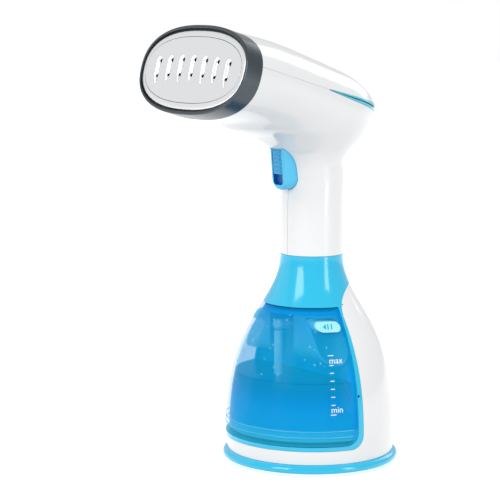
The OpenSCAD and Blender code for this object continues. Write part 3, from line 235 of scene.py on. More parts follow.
# Clear tinted plastics: the tank's wall, its pockets and its tabs
TANK_CLEAR = make_material("san_clear_aqua", "#00CFFF", 0.07, 8.0, 0.03, 0.03, IOR=1.35,
    Specular_IOR_Level=0.12, Alpha=0.34)
TANK_BACK = make_material("san_blue_matt", "#0096F8", 0.4, 3.0, 0.02, 0.06, IOR=1.5, Specular_IOR_Level=0.1)
POCKET_CLEAR = make_material("san_clear_azure", "#66D4FA", 0.12, 3.0, 0.02, 0.04, IOR=1.5, Alpha=0.55)
TAB_CLEAR = make_material("san_frosted_aqua", "#A4F4FC", 0.25, 2.0, 0.02, 0.05, IOR=1.45)
TUBE_SOFT = make_material("silicone_tube_pale", "#B8F4FF", 0.35, 2.0, 0.02, 0.05, IOR=1.41)
WATER = make_material("water_tinted", "#0B57C4", 0.05, 20.0, 0.0, 0.0, IOR=1.33, Specular_IOR_Level=0.1,
    Alpha=0.82)
DROPLET = make_material("water_droplet", "#BDF0FF", 0.04, 20.0, 0.0, 0.0, IOR=1.33, Alpha=0.45)
# Painted shade: a darker blue for the trigger's slot, where shade falls round the lock slider
SLOT_PAINTED_SHADE = make_material("abs_blue_slot_painted_shade", "#0B5DB4", 0.4, 0.8, 0.01, 0.05, IOR=1.5)
PRINT_WHITE = make_material("screen_print_white", "#F2FBFF", 0.45, 0.5, 0.01, 0.05, IOR=1.5)


def paint_light_by_height(material, low_mm, high_mm, socket, *stops):
    """Paints light and shade into a value or a colour of the material by height; stops are (share of the
    way up, colour)."""
    tree = material.node_tree
    place = node(tree, "ShaderNodeTexCoord")
    parts = node(tree, "ShaderNodeSeparateXYZ", {0: place.outputs["Object"]})
    share = node(tree, "ShaderNodeMapRange",
        {"Value": parts.outputs["Z"], "From Min": low_mm * MM, "From Max": high_mm * MM})
    ramp = node(tree, "ShaderNodeValToRGB", {0: share.outputs["Result"]})
    while len(ramp.color_ramp.elements) < len(stops):
        ramp.color_ramp.elements.new(0.5)
    for element, (at, colour) in zip(ramp.color_ramp.elements, stops):
        element.position, element.color = at, to_linear(colour)
    tree.links.new(ramp.outputs["Color"], tree.nodes["Principled BSDF"].inputs[socket])


# Painted shade and light: the water is painted darkest just under its surface and lighter low down; the
# tank's thick foot is painted bright
paint_light_by_height(WATER, 22, 58.8, "Base Color", (0.0, "#10D0FF"), (0.5, "#009CF8"), (0.75, "#0050D0"),
    (0.88, "#001C98"))
paint_light_by_height(TANK_CLEAR, 19.8, 103.4, "Base Color", (0.0, "#40DAFF"), (0.11, "#38D6FF"),
    (0.125, "#0CC0FC"), (0.7, "#10C8FF"), (1.0, "#08B4F8"))

CAD_FINISH = {
    "anti_slip_pad": RUBBER, "base_plate": NATURAL_PP, "base_ring": BLUE_ABS, "base_screws": STEEL,
    "rear_housing": WHITE_ABS, "collar_frame": BLUE_ABS, "tank_bay_liner": NATURAL_PP, "case_screws": STEEL,
    "body_left": WHITE_ABS, "body_right": WHITE_ABS, "head_cover": WHITE_ABS,
    "accent_strip": ACCENT_ABS, "accent_groove": GROOVE_ABS, "bezel": BEZEL_PAINT, "plate_gasket": RUBBER,
    "steam_plate": PLATE_METAL, "heater_block": DIECAST, "heating_element": STEEL, "chamber_cover": DIECAST,
    "trigger": TRIGGER_ABS, "trigger_lock": SLIDER_ABS, "tank_front": TANK_CLEAR, "tank_back": TANK_BACK,
    "latch_pockets": POCKET_CLEAR, "suction_tube": TUBE_SOFT, "suction_elbow": TUBE_SOFT,
    "tank_roof": TANK_BACK, "filler_plug": RUBBER, "outlet_ring": RUBBER, "cord_gland": NATURAL_PP,
    "release_tab_right": TAB_CLEAR, "release_tab_left": TAB_CLEAR,
}
for name, piece in nodes.items():
    finish = CAD_FINISH.get(name, STEEL if "screw" in name or "spring" in name else NATURAL_PP)
    piece.data.materials.clear()
    piece.data.materials.append(finish)
    for polygon in piece.data.polygons:
        polygon.material_index = 0
print("materials:", len(bpy.data.materials))

# %% [markdown]
# ## The outline rules
# Four measured rules give the shapes: the bell's side outline, the head's cross sections, the neck's
# flare, and the rounded oval of the plate. Everything is in millimetres here, and turns to metres when a
# mesh is made.

# %% Bell outline
NECK_R, BELL_R, BELL_Z, COLLAR_TOP, RING_TOP = 20.3, 55.2, 23.0, 135.0, 7.8
BELL_PULL_TOP, BELL_PULL_LOW, FOOT_DRAW = 33.0, 70.0, 1.5
curve_t = np.linspace(0, 1, 800)[:, None]
bell_curve = ((1 - curve_t) ** 3 * (NECK_R, COLLAR_TOP)
              + 3 * (1 - curve_t) ** 2 * curve_t * (NECK_R, COLLAR_TOP - BELL_PULL_TOP)
              + 3 * (1 - curve_t) * curve_t ** 2 * (BELL_R, BELL_Z + BELL_PULL_LOW)
              + curve_t ** 3 * (BELL_R, BELL_Z))


def bell_radius(z):
    """Radius of the bell body at height z."""
    foot = BELL_R - FOOT_DRAW * ((BELL_Z - z) / (BELL_Z - RING_TOP)) ** 2
    return np.where(z < BELL_Z, foot, np.interp(z, bell_curve[::-1, 1], bell_curve[::-1, 0]))


print("bell radius at the shoulder:", float(bell_radius(np.array([93.0]))[0]))

# %% Head frame and sections
BEZEL_HALF_W, BEZEL_HALF_H, BEZEL_DEPTH = 53.25, 28.1, 12.0
HEAD_TILT, HEAD_LEN, REAR_ROUND, HEAD_TAPER = math.radians(16.2), 139.0, 38.0, 14.2
PLATE_CENTRE = np.array([0.0, -96.0, 254.3])
FACE_OUT = np.array([0.0, -math.cos(HEAD_TILT), math.sin(HEAD_TILT)])
FACE_UP = np.array([0.0, math.sin(HEAD_TILT), math.cos(HEAD_TILT)])
SEAM_V, SEAM_SLOPE = 6.6, 0.036
OVAL_SQUARE, SQUARE_LOSS, CROWN_RUN = 2.4, 0.23, 35.0
CROWN_RISE, CROWN_DROP, CROWN_DROP_FROM = 2.7, 0.038, 55.0
CHIN_LIFT, CHIN_RUN, CHIN_BLUNT = 3.2, 26.0, 0.67


def in_head(p):
    """Sideways, up and depth behind the plate's face, for points in the steamer's frame."""
    d = p - PLATE_CENTRE
    return d[:, 0], d @ FACE_UP, -(d @ FACE_OUT)


def from_head(u, v, s):
    """Points in the steamer's frame, from sideways, up and depth behind the plate's face."""
    u, v, s = np.broadcast_arrays(np.asarray(u, float), v, s)
    return PLATE_CENTRE + u[..., None] * (1.0, 0, 0) + v[..., None] * FACE_UP - s[..., None] * FACE_OUT


def seam_height(s):
    return SEAM_V + SEAM_SLOPE * (s - BEZEL_DEPTH)


def head_raw(p):
    """Zero on the head's surface: an oval section that tapers to the rear and rounds off there."""
    u, v, s = in_head(p)
    depth = np.clip(s, BEZEL_DEPTH, None)
    half_w = BEZEL_HALF_W - HEAD_TAPER * (depth - BEZEL_DEPTH) / (HEAD_LEN - REAR_ROUND - BEZEL_DEPTH)
    rise = np.sin(np.pi / 2 * np.clip((depth - BEZEL_DEPTH) / CROWN_RUN, 0, 1))
    top = BEZEL_HALF_H + CROWN_RISE * rise - CROWN_DROP * np.clip(depth - CROWN_DROP_FROM, 0, None)
    low = -BEZEL_HALF_H + CHIN_LIFT * np.sin(np.pi / 2 * np.clip((depth - BEZEL_DEPTH) / CHIN_RUN, 0, 1))
    square = OVAL_SQUARE - SQUARE_LOSS * np.clip((depth - BEZEL_DEPTH) / CROWN_RUN, 0, 1)
    ending = np.clip((s - (HEAD_LEN - REAR_ROUND)) / REAR_ROUND, 0, None)
    ease = np.clip(ending, 0, 1) ** 2 * (3 - 2 * np.clip(ending, 0, 1))
    middle = (top + low) / 2 * (1 - ease) + seam_height(depth) * ease
    across = np.abs(u / np.clip(half_w, 1, None)) ** square
    upward = np.abs((v - middle) / np.where(v > middle, top - middle, middle - low)) ** square
    share = (across + upward) ** (1 / square)
    blunt = 1 + CHIN_BLUNT * np.where(v < middle, upward / (across + upward + 1e-9), 0) * ease
    return share ** (2 * blunt) + ending ** 2 - 1


FLARE_Z, NECK_REACH = 186.0, 40.0
flare = np.array([(-60, 0, 0, 0), (-40, 0, 0, 0), (-20, 0, 0, 0), (0, 0, 0, 0), (10, 0.3, 2.6, -0.3),
                  (15.7, 1.5, 7.3, 1.7), (20.9, 3.7, 14.2, 5.5), (26.7, 6.7, 24.2, 10.7),
                  (32.4, 10.2, 39.7, 17.2), (37.6, 12.2, 46, 20.7), (48, 11, 42, 20)], float)


def smooth_table(x, table, column):
    """A smooth curve through a table's points: cubic pieces whose slopes come from their neighbours."""
    xs, ys = table[:, 0], table[:, column]
    slopes = np.gradient(ys, xs)
    i = np.clip(np.searchsorted(xs, x) - 1, 0, len(xs) - 2)
    h = xs[i + 1] - xs[i]
    t = np.clip((x - xs[i]) / h, 0, 1)
    return ((2 * t ** 3 - 3 * t ** 2 + 1) * ys[i] + (t ** 3 - 2 * t ** 2 + t) * h * slopes[i]
            + (3 * t ** 2 - 2 * t ** 3) * ys[i + 1] + (t ** 3 - t ** 2) * h * slopes[i + 1])


def neck_raw(p):
    """Zero on the neck's surface: round below, and an oval that reaches forward where it flares into
    the head."""
    rise = p[:, 2] - FLARE_Z
    half_w = NECK_R + smooth_table(rise, flare, 1)
    front, rear = NECK_R + smooth_table(rise, flare, 2), NECK_R + smooth_table(rise, flare, 3)
    share = (p[:, 0] / half_w) ** 2 + ((p[:, 1] - (rear - front) / 2) / ((rear + front) / 2)) ** 2
    return share - 1


def slope_of(field, p, step=0.05):
    return np.stack([(field(p + step * e) - field(p - step * e)) / (2 * step) for e in np.eye(3)], 1)


def body_distance(p, blend=9.0):
    """About how far points lie outside the white body: head and neck, joined by a soft fillet."""
    head, neck = (field(p) / (np.linalg.norm(slope_of(field, p), axis=1) + 1e-4)
        for field in (head_raw, neck_raw))
    neck = np.maximum(neck, p[:, 2] - FLARE_Z - NECK_REACH)
    mix = np.clip(0.5 + 0.5 * (neck - head) / blend, 0, 1)
    return neck + (head - neck) * mix - blend * mix * (1 - mix)


# %% [markdown]
# ## Skinning a rule
# A rule that says how far a point lies from a surface can be skinned: a grid of cells is laid over it, a
# point is set in each cell that the surface passes through, and neighbours are joined by four-sided
# faces. A few steps along the rule's slope then bring every point exactly onto the surface. This gives
# even faces where a boolean would leave a crease, which is what the neck's soft flare into the head
# needs.

# %% Surface net


def surface_net(field, low, high, cell):
    """Vertices and four-sided faces of the surface where field is zero, inside the box from low to high."""
    counts = [int(math.ceil((b - a) / cell)) + 1 for a, b in zip(low, high)]
    axes = [a + cell * np.arange(n) for a, n in zip(low, counts)]
    grid = np.stack(np.meshgrid(*axes, indexing="ij"), -1)
    values = field(grid.reshape(-1, 3)).reshape(counts)
    total = np.zeros((*[n - 1 for n in counts], 3))
    hits = np.zeros([n - 1 for n in counts])
    crossings = []
    for axis in range(3):
        first = [slice(None)] * 3
        second = [slice(None)] * 3
        first[axis], second[axis] = slice(0, -1), slice(1, None)
        a, b = values[tuple(first)], values[tuple(second)]
        where = np.argwhere((a < 0) != (b < 0))
        va, vb = a[tuple(where.T)], b[tuple(where.T)]
        point = grid[tuple(first)][tuple(where.T)].copy()
        point[:, axis] += cell * va / (va - vb)
        others = [i for i in range(3) if i != axis]
        ring = []
        for da, db in ((0, 0), (1, 0), (1, 1), (0, 1)):
            corner = where.copy()
            corner[:, others[0]] -= da
            corner[:, others[1]] -= db
            ring.append(corner)
        inside = np.all([np.all((c >= 0) & (c < np.array(hits.shape)), axis=1) for c in ring], axis=0)
        for c in ring:
            keep = np.all((c >= 0) & (c < np.array(hits.shape)), axis=1)
            np.add.at(total, tuple(c[keep].T), point[keep])
            np.add.at(hits, tuple(c[keep].T), 1)
        flip = (va < 0) ^ (axis == 1)
        crossings.append((np.stack([np.ravel_multi_index(c.T.clip(0), hits.shape, mode="clip")
            for c in ring], 1)[inside], flip[inside]))
    used = np.flatnonzero(hits.ravel())
    index = np.full(hits.size, -1)
    index[used] = np.arange(len(used))
    points = (total.reshape(-1, 3)[used]) / hits.ravel()[used][:, None]
    faces = np.concatenate([np.where(flip[:, None], quads, quads[:, ::-1]) for quads, flip in crossings])
    return points, index[faces]


def settle(field, points, faces, rounds=4):
    """Evens out the net and brings its points onto the surface."""
    edges = np.unique(np.sort(np.concatenate([faces[:, [i, (i + 1) % 4]] for i in range(4)]), axis=1),
        axis=0)
    for k in range(rounds):
        near = np.zeros_like(points)
        count = np.zeros(len(points))
        for a, b in ((0, 1), (1, 0)):
            np.add.at(near, edges[:, a], points[edges[:, b]])
            np.add.at(count, edges[:, a], 1)
        points = points + 0.6 * (near / count[:, None] - points)
        for _ in range(2):
            slope = slope_of(field, points)
            points = points - slope * (field(points) / (np.sum(slope ** 2, 1) + 1e-9))[:, None]
    return points


# %% Skin the white body
BODY_CELL = 1.7
skin_points, skin_faces = surface_net(body_distance, (-60.0, -112.0, 129.0), (60.0, 52.0, 294.0), BODY_CELL)
skin_points = settle(body_distance, skin_points, skin_faces)
print("white skin:", len(skin_points), "points,", len(skin_faces), "faces")

# %% [markdown]
# ## Cutting a skin
# Each white moulding is a cut-out of the same skin. A cut is a rule too: positive where the moulding
# stays. Points that lie close to the cut are first slid onto it, so that no sliver of a face is left.
# Faces that cross it are then clipped. Solidify gives the moulding its wall, and Bevel rounds the edge as
# the mould does, which draws the seams.

# %% Trim and shell


def trim(points, faces, rule, surface=None, snap=0.6):
    """Keeps the part of a net where rule is above zero. faces is a list of index lists; surface keeps
    points on it."""
    points = np.array(points)
    value = rule(points)
    slope = slope_of(rule, points)
    if surface is not None:
        out = slope_of(surface, points)
        out /= np.linalg.norm(out, axis=1)[:, None] + 1e-9
        slope = slope - out * np.sum(slope * out, 1)[:, None]
    shift = value / (np.sum(slope ** 2, 1) + 1e-6)
    move = slope * shift[:, None]
    close = (np.linalg.norm(move, axis=1) < snap) & (np.abs(value) < 2 * snap)
    points[close] -= move[close]
    value[close] = 0
    made, extra, kept = {}, [], []

    def crossing(a, b):
        key = (min(a, b), max(a, b))
        if key not in made:
            t = value[a] / (value[a] - value[b])
            made[key] = len(points) + len(extra)
            extra.append(points[a] + t * (points[b] - points[a]))
        return made[key]

    for face in faces:
        sides = [value[i] for i in face]
        if min(sides) >= 0:
            if max(sides) > 0:
                kept.append(list(face))
            continue
        if max(sides) <= 0:
            continue
        ring = []
        for i, a in enumerate(face):
            b = face[(i + 1) % len(face)]
            if value[a] >= 0:
                ring.append(a)
            if (value[a] > 0 > value[b]) or (value[a] < 0 < value[b]):
                ring.append(crossing(a, b))
        if len(ring) > 2:
            kept.append(ring)
    points = np.concatenate([points, np.array(extra).reshape(-1, 3)])
    used = np.unique(np.concatenate([np.array(f) for f in kept]))
    index = np.full(len(points), -1)
    index[used] = np.arange(len(used))
    return points[used], [[int(index[i]) for i in f] for f in kept]


def make_piece(name, points, faces, body, *finishes, replaces=(), slot=None):
    """A mesh piece from millimetre points that rides on a body and may stand for CAD nodes."""
    mesh = bpy.data.meshes.new(name)
    mesh.from_pydata((np.asarray(points, float) * MM).tolist(), [], [list(map(int, f)) for f in faces])
    mesh.validate()
    mesh.shade_smooth()
    for finish in finishes:
        mesh.materials.append(finish)
    piece = bpy.data.objects.new(name, mesh)
    bpy.context.scene.collection.objects.link(piece)
    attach(piece, body)
    if replaces:
        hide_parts(*replaces)
    return piece


def face_out(piece):
    """Turns every face of a closed piece outwards."""
    mesh = bmesh.new()
    mesh.from_mesh(piece.data)
    bmesh.ops.recalc_face_normals(mesh, faces=mesh.faces)
    mesh.to_mesh(piece.data)
    mesh.free()
    return piece


def give_wall(piece, wall_mm, bevel_mm, segments=2):
    """A wall inwards from the skin, and rounded edges."""
    solid = piece.modifiers.new("wall", "SOLIDIFY")
    solid.thickness, solid.offset, solid.use_even_offset = wall_mm * MM, -1, False
    solid.use_quality_normals = True
    if bevel_mm:
        round_edges(piece, bevel_mm, segments)


def round_edges(piece, bevel_mm, segments=2, angle=50):
    bevel = piece.modifiers.new("rounded_edges", "BEVEL")
    bevel.width, bevel.segments, bevel.limit_method = bevel_mm * MM, segments, "ANGLE"
    bevel.angle_limit, bevel.use_clamp_overlap, bevel.harden_normals = math.radians(angle), False, True
    bevel.miter_outer = "MITER_ARC"
    return piece


# %% Cut the white body into its mouldings
SEAM_GAP, FRONT_SEAM_GAP, ACCENT_GAP = 0.12, 0.3, 0.12
NECK_TOP, WALL, EDGE_ROUND = 135.1, 2.2, 0.22
ACCENT_START, ACCENT_TIP_HALF, ACCENT_END_HALF, ACCENT_RUN = 75.0, 0.3, 4.0, HEAD_LEN + 10
TRIGGER_LOW, TRIGGER_TOP, SLOT_HALF, SLOT_ROUND, SLOT_TOP_ROUND = 177.0, 206.9, 7.75, 7.7, 1.0
FACE_TOP, FACE_LEAN, FACE_GAP = np.array([-30.2, 205.0]), math.radians(5.2), 0.35
FAR_OUTSIDE = 20.0


def face_depth(p):
    return in_head(p)[2] - BEZEL_DEPTH - 0.1


def above_seam(p):
    u, v, s = in_head(p)
    return v - seam_height(s)


def accent_rule(p, margin):
    """Positive outside the turquoise wedge that tapers forward from the rear end."""
    u, v, s = in_head(p)
    share = np.clip((s - ACCENT_START) / (ACCENT_RUN - ACCENT_START), -0.1, None)
    half = ACCENT_TIP_HALF + (ACCENT_END_HALF - ACCENT_TIP_HALF) * share
    return np.abs(v - seam_height(s)) - half - margin


def accent_room(p):
    """The wedge's rule where the wedge is, and well outside it further forward."""
    return np.where(in_head(p)[2] > ACCENT_START - 1, accent_rule(p, ACCENT_GAP), FAR_OUTSIDE / 2)


def trigger_window(p):
    """Positive outside the trigger's window in the neck's front."""
    middle, half_h = (TRIGGER_LOW + TRIGGER_TOP) / 2, (TRIGGER_TOP - TRIGGER_LOW) / 2
    rounding = np.where(p[:, 2] < middle, SLOT_ROUND, SLOT_TOP_ROUND)
    dx = np.abs(p[:, 0]) - SLOT_HALF + rounding
    dz = np.abs(p[:, 2] - middle) - half_h + rounding
    flat = (np.hypot(np.clip(dx, 0, None), np.clip(dz, 0, None)) + np.minimum(np.maximum(dx, dz), 0)
            - rounding)
    in_front = FACE_TOP[0] + (FACE_TOP[1] - p[:, 2]) * math.tan(FACE_LEAN) - FACE_GAP - p[:, 1]
    return np.where(p[:, 1] < -2, np.maximum(flat, in_front), FAR_OUTSIDE)


def cut_skin(*rules):
    points, faces = skin_points, skin_faces.tolist()
    for rule in rules:
        points, faces = trim(points, faces, rule, body_distance)
    return points, faces


def half_seam(side):
    """Positive on one side of the steamer's middle, short of the seam down its front; side is 1 or -1."""
    return lambda p: side * p[:, 0] - FRONT_SEAM_GAP / 2


def neck_end(p):
    return p[:, 2] - NECK_TOP


def upper_shell(p):
    return above_seam(p) - SEAM_GAP / 2


def lower_shell(p):
    return -above_seam(p) - SEAM_GAP / 2


mouldings = {
    "crown_cover": ("head_cover", [upper_shell, accent_room]),
    "handle_right": ("body_right", [lower_shell, accent_room, half_seam(1), trigger_window]),
    "handle_left": ("body_left", [lower_shell, accent_room, half_seam(-1), trigger_window]),
}
for name, (stands_for, rules) in mouldings.items():
    points, faces = cut_skin(face_depth, neck_end, *rules)
    piece = make_piece(name, points, faces, "housing", WHITE_ABS, replaces=[stands_for])
    give_wall(piece, WALL, EDGE_ROUND)
    print(name, len(faces), "faces")

# %% [markdown]
# ## Bezel and steam plate
# The plate is an oval of satin aluminium in a dark metallic bezel. Rings that follow an oval are swept: a
# small profile is carried round it, each point somewhere between the bezel's outer oval and the plate's
# edge.

# %% Ovals and swept rings
PLATE_HALF_W, PLATE_HALF_H = 51.5, 25.1
FACE_HALF_W, FACE_HALF_H = 48.0, 20.7
OVAL_POINTS = 240


def oval_points(half_w, half_h, square=OVAL_SQUARE):
    """Points round an oval, spaced evenly along it."""
    t = np.linspace(0, 2 * math.pi, 4001)
    c, d = np.cos(t), np.sin(t)
    line = np.stack([half_w * np.sign(c) * np.abs(c) ** (2 / square),
        half_h * np.sign(d) * np.abs(d) ** (2 / square)], 1)
    run = np.concatenate([[0], np.cumsum(np.linalg.norm(np.diff(line, axis=0), axis=1))])
    at = np.linspace(0, run[-1], OVAL_POINTS, endpoint=False)
    return np.stack([np.interp(at, run, line[:, k]) for k in (0, 1)], 1)


def quads_between(rows, columns, close_rows=False, close_columns=True):
    """Four-sided faces of a grid of points; row by row, and wrapped round where it is closed."""
    faces = []
    for i in range(rows if close_rows else rows - 1):
        for j in range(columns if close_columns else columns - 1):
            a, b = (i + 1) % rows, (j + 1) % columns
            faces.append((i * columns + j, i * columns + b, a * columns + b, a * columns + j))
    return faces


def sweep_oval(name, outer, inner, profile, finish, replaces=(), body="housing"):
    """A closed ring whose profile points are (share from outer to inner oval, height in front of the
    plate's face)."""
    a, b = oval_points(*outer), oval_points(*inner)
    rings = [from_head(*(a + share * (b - a)).T, -height) for share, height in profile]
    faces = quads_between(len(profile), OVAL_POINTS, close_rows=True)
    piece = make_piece(name, np.concatenate(rings), faces, body, finish, replaces=replaces)
    return round_edges(piece, 0.15, 2, 35)


def arc_profile(centre, radius, start, end, steps=5):
    """Profile points on a quarter turn or so; radius is (share, height)."""
    turn = np.radians(np.linspace(start, end, steps))
    return [(centre[0] + radius[0] * math.cos(t), centre[1] + radius[1] * math.sin(t)) for t in turn]


# %% Bezel and plate rim
bezel_profile = ([(0.0, -11.9)] + arc_profile((0.22, -0.9), (0.22, 1.4), 180, 90)
                 + arc_profile((0.56, 0.1), (0.12, 0.4), 90, 0)
                 + [(0.68, -4.0), (0.5, -4.0), (0.5, -9.0), (0.62, -11.9)])
sweep_oval("bezel_ring", (BEZEL_HALF_W, BEZEL_HALF_H), (PLATE_HALF_W, PLATE_HALF_H), bezel_profile,
    BEZEL_PAINT, ["bezel"])
rim_profile = ([(0.0, -5.0), (0.0, -1.9)] + arc_profile((0.3, -1.9), (0.3, 1.65), 180, 100, 7)
               + [(0.62, -0.06), (0.96, 0.0)] + [(0.96, -1.6), (0.4, -2.2), (0.4, -5.0)])
sweep_oval("plate_rim", (PLATE_HALF_W, PLATE_HALF_H), (FACE_HALF_W, FACE_HALF_H), rim_profile, PLATE_METAL)
print("bezel and rim swept round", OVAL_POINTS, "points")

# %% [markdown]
# ## The plate's face
# Seven dished leaves are pressed into the face, each with two steam holes, and they hang a little lower
# towards the sides. The face is a fine grid: the oval and the holes are cut with the same trimming rule
# as the white body, and the grid's points then sink by how deep they lie in a leaf.

# %% Plate face
SLOT_PITCH, SLOT_COUNT, HOLE_R = 11.74, 7, 1.25
UPPER_HOLE_V, LOWER_HOLE_V, LEAF_TOP_R, LEAF_LOW_R = 6.5, -2.95, 2.55, 2.05
LEAF_TAIL, LEAF_DEPTH, LEAF_DROOP, FACE_CELL = 5.6, 1.3, 0.18, 0.5
LEAF_EASE, LIP_RISE, LIP_OUT, LIP_WIDTH = 1.5, 0.16, 0.35, 0.4


def droop(i):
    return LEAF_DROOP * i * i


def tapered_distance(x, y, y_a, r_a, y_b, r_b):
    """Distance to an upright capsule whose radius changes from r_a at y_a to r_b at y_b."""
    t = np.clip((y - y_a) / (y_b - y_a), 0, 1)
    return np.hypot(x, y - (y_a + t * (y_b - y_a))) - (r_a + t * (r_b - r_a))


def leaf_distance(x, y):
    return np.minimum(tapered_distance(x, y, UPPER_HOLE_V, LEAF_TOP_R, LOWER_HOLE_V, LEAF_LOW_R),
                      tapered_distance(x, y, LOWER_HOLE_V, LEAF_LOW_R, LOWER_HOLE_V - LEAF_TAIL, 0.15))


leaf_places = [(i * SLOT_PITCH, -droop(i)) for i in range(-(SLOT_COUNT // 2), SLOT_COUNT // 2 + 1)]


def hole_rule(p):
    return np.min([np.hypot(p[:, 0] - x, p[:, 1] - v - y) for x, y in leaf_places
                   for v in (UPPER_HOLE_V, LOWER_HOLE_V)], 0) - HOLE_R


def face_rule(p):
    return 1 - (np.abs(p[:, 0] / (FACE_HALF_W - 0.1)) ** OVAL_SQUARE
                + np.abs(p[:, 1] / (FACE_HALF_H - 0.1)) ** OVAL_SQUARE) ** (1 / OVAL_SQUARE)


columns, rows = (int(2 * v / FACE_CELL) + 2 for v in (FACE_HALF_W, FACE_HALF_H))
gx, gy = np.meshgrid((np.arange(columns) - (columns - 1) / 2) * FACE_CELL,
    (np.arange(rows) - (rows - 1) / 2) * FACE_CELL)
flat = np.stack([gx.ravel(), gy.ravel(), np.zeros(gx.size)], 1)
face_quads = quads_between(rows, columns, close_columns=False)
face_points, face_faces = trim(flat, face_quads, lambda p: face_rule(p) * FACE_HALF_H, snap=0.22)
face_points, face_faces = trim(face_points, face_faces, hole_rule, snap=0.22)
leaf = np.min([leaf_distance(face_points[:, 0] - x, face_points[:, 1] - y) for x, y in leaf_places], 0)
ease = np.clip(-leaf / LEAF_EASE, 0, 1)
lip = LIP_RISE * np.exp(-((leaf - LIP_OUT) / LIP_WIDTH) ** 2)
depth = LEAF_DEPTH * ease ** 2 * (3 - 2 * ease) - lip
plate_points = from_head(face_points[:, 0], face_points[:, 1], depth + 0.03)
plate_face = make_piece("steam_plate_face", plate_points, face_faces, "housing", PLATE_METAL,
    replaces=["steam_plate"])
give_wall(plate_face, 1.6, 0.12, 2)
print("plate face:", len(face_faces), "faces")

# %% [markdown]
# ## The turquoise accent
# A wedge of pearl turquoise runs round the head's rear end, with a dark line along its middle. Its
# surface is the white body's own. Rays from inside the head find that surface along the wedge, so its
# edges are clean and even.

# %% Accent strips
ACCENT_TURNS = 200


def accent_half(s):
    share = np.clip((s - ACCENT_START) / (ACCENT_RUN - ACCENT_START), 0, None)
    return ACCENT_TIP_HALF + (ACCENT_END_HALF - ACCENT_TIP_HALF) * share


def accent_line(share, line_half, inset):
    """Points along the wedge, at a share of its half height beyond the middle line, inset below the
    surface."""
    turn = np.linspace(0.0, math.pi, ACCENT_TURNS)
    low, high = np.full(ACCENT_TURNS, 10.0), np.full(ACCENT_TURNS, 75.0)
    for _ in range(28):
        r = (low + high) / 2
        s = ACCENT_START + r * np.sin(turn)
        half = accent_half(s)
        line = line_half * np.clip(half / accent_half(HEAD_LEN), 0.1, 1)
        offset = np.sign(share) * (line + (half - line) * abs(share)) if line_half else share * half
        outside = body_distance(from_head(r * np.cos(turn), seam_height(s) + offset, s)) > -inset
        low, high = np.where(outside, low, r), np.where(outside, r, high)
    return from_head(r * np.cos(turn), seam_height(s) + offset, s)


def accent_bar(name, profile, line_half, finish, replaces=()):
    """A bar along the wedge with a closed profile of (share, inset), and closed ends."""
    lines = [accent_line(share, line_half, inset) for share, inset in profile]
    n = len(profile)
    points = np.stack(lines, 1).reshape(-1, 3)
    faces = quads_between(ACCENT_TURNS, n, close_columns=True)
    faces += [tuple(range(n)), tuple(range((ACCENT_TURNS - 1) * n + n - 1, (ACCENT_TURNS - 1) * n - 1, -1))]
    return face_out(make_piece(name, points, faces, "housing", finish, replaces=replaces))


MIDDLE_LINE = 0.85
for name, side in (("accent_upper", 1), ("accent_lower", -1)):
    shares = [(0.0, 0.16), (0.06, 0.03), (0.2, 0.0), (0.5, 0.0), (0.8, 0.0), (0.94, 0.03), (1.0, 0.16),
        (1.0, 1.1), (0.0, 1.1)]
    accent_bar(name, [(side * max(a, 1e-6), b) for a, b in shares], MIDDLE_LINE, ACCENT_ABS,
        ["accent_strip"] if side > 0 else [])
accent_bar("accent_line", [(-0.9, 0.45), (0.9, 0.45), (0.9, 1.0), (-0.9, 1.0)], 0, GROOVE_ABS,
    ["accent_groove"])
print("accent:", ACCENT_TURNS, "steps round the rear end")

# %% [markdown]
# ## Trigger and lock slider
# The trigger is a pill in front view, square at the top and round below. It is built from matching rings
# of points: up its side, over a rounded edge, across the face, and down into the slot that the lock
# slider runs in.

# %% Trigger
TRIGGER_HALF, TRIGGER_H, TRIGGER_BACK = 7.3, 29.0, -14.0
LOCK_HALF, LOCK_LEN, LOCK_ROOM, SLOT_DEPTH = 4.25, 17.0, 24.0, 2.6
GRIP_ROUND, LOCK_TOP, LOCK_SUNK, LOCK_ROUND = 2.2, -0.9, 0.55, 0.5


def pill(half, top, low, r_top, r_low, inset=0.0):
    """Points round an upright pill in (x, height), the same number on every part, so that pills match
    up."""
    half, top, low = half - inset, top - inset, low + inset
    r_top, r_low = max(r_top - inset, 0.2), max(r_low - inset, 0.2)
    turn = np.linspace(0, math.pi / 2, 9)
    right = [np.stack([np.linspace(0, half - r_top, 4)[:-1], np.full(3, top)], 1),
             np.stack([half - r_top + r_top * np.sin(turn), top - r_top + r_top * np.cos(turn)], 1),
             np.stack([np.full(5, half), np.linspace(top - r_top, low + r_low, 7)[1:-1]], 1),
             np.stack([half - r_low + r_low * np.cos(turn), low + r_low - r_low * np.sin(turn)], 1),
             np.stack([np.linspace(half - r_low, 0, 4)[1:], np.full(3, low)], 1)]
    right = np.concatenate(right)
    return np.concatenate([right, right[-2:0:-1] * (-1, 1)])


def on_trigger(ring, depth):
    """Places a ring of (x, distance up the face from its top) in space, depth behind the leaning face."""
    down = np.array([-math.sin(FACE_LEAN), math.cos(FACE_LEAN)])
    y = FACE_TOP[0] + down[0] * ring[:, 1] + math.cos(FACE_LEAN) * depth
    z = FACE_TOP[1] + down[1] * ring[:, 1] + math.sin(FACE_LEAN) * depth
    return np.stack([ring[:, 0], y, z], 1)


def ring_solid(name, rings, body, *finishes, replaces=(), slot_from=None):
    """A solid from matching rings of points, closed at both ends; rings after slot_from take the
    second finish."""
    n = len(rings[0])
    faces = quads_between(len(rings), n) + [tuple(range(n))[::-1],
        tuple(range((len(rings) - 1) * n, len(rings) * n))]
    piece = make_piece(name, np.concatenate(rings), faces, body, *finishes, replaces=replaces)
    if slot_from is not None:
        for i, polygon in enumerate(piece.data.polygons):
            if (slot_from * n <= i < (len(rings) - 1) * n) or i == len(faces) - 1:
                polygon.material_index = 1
    piece.data.set_sharp_from_angle(angle=math.radians(40))
    return face_out(piece)


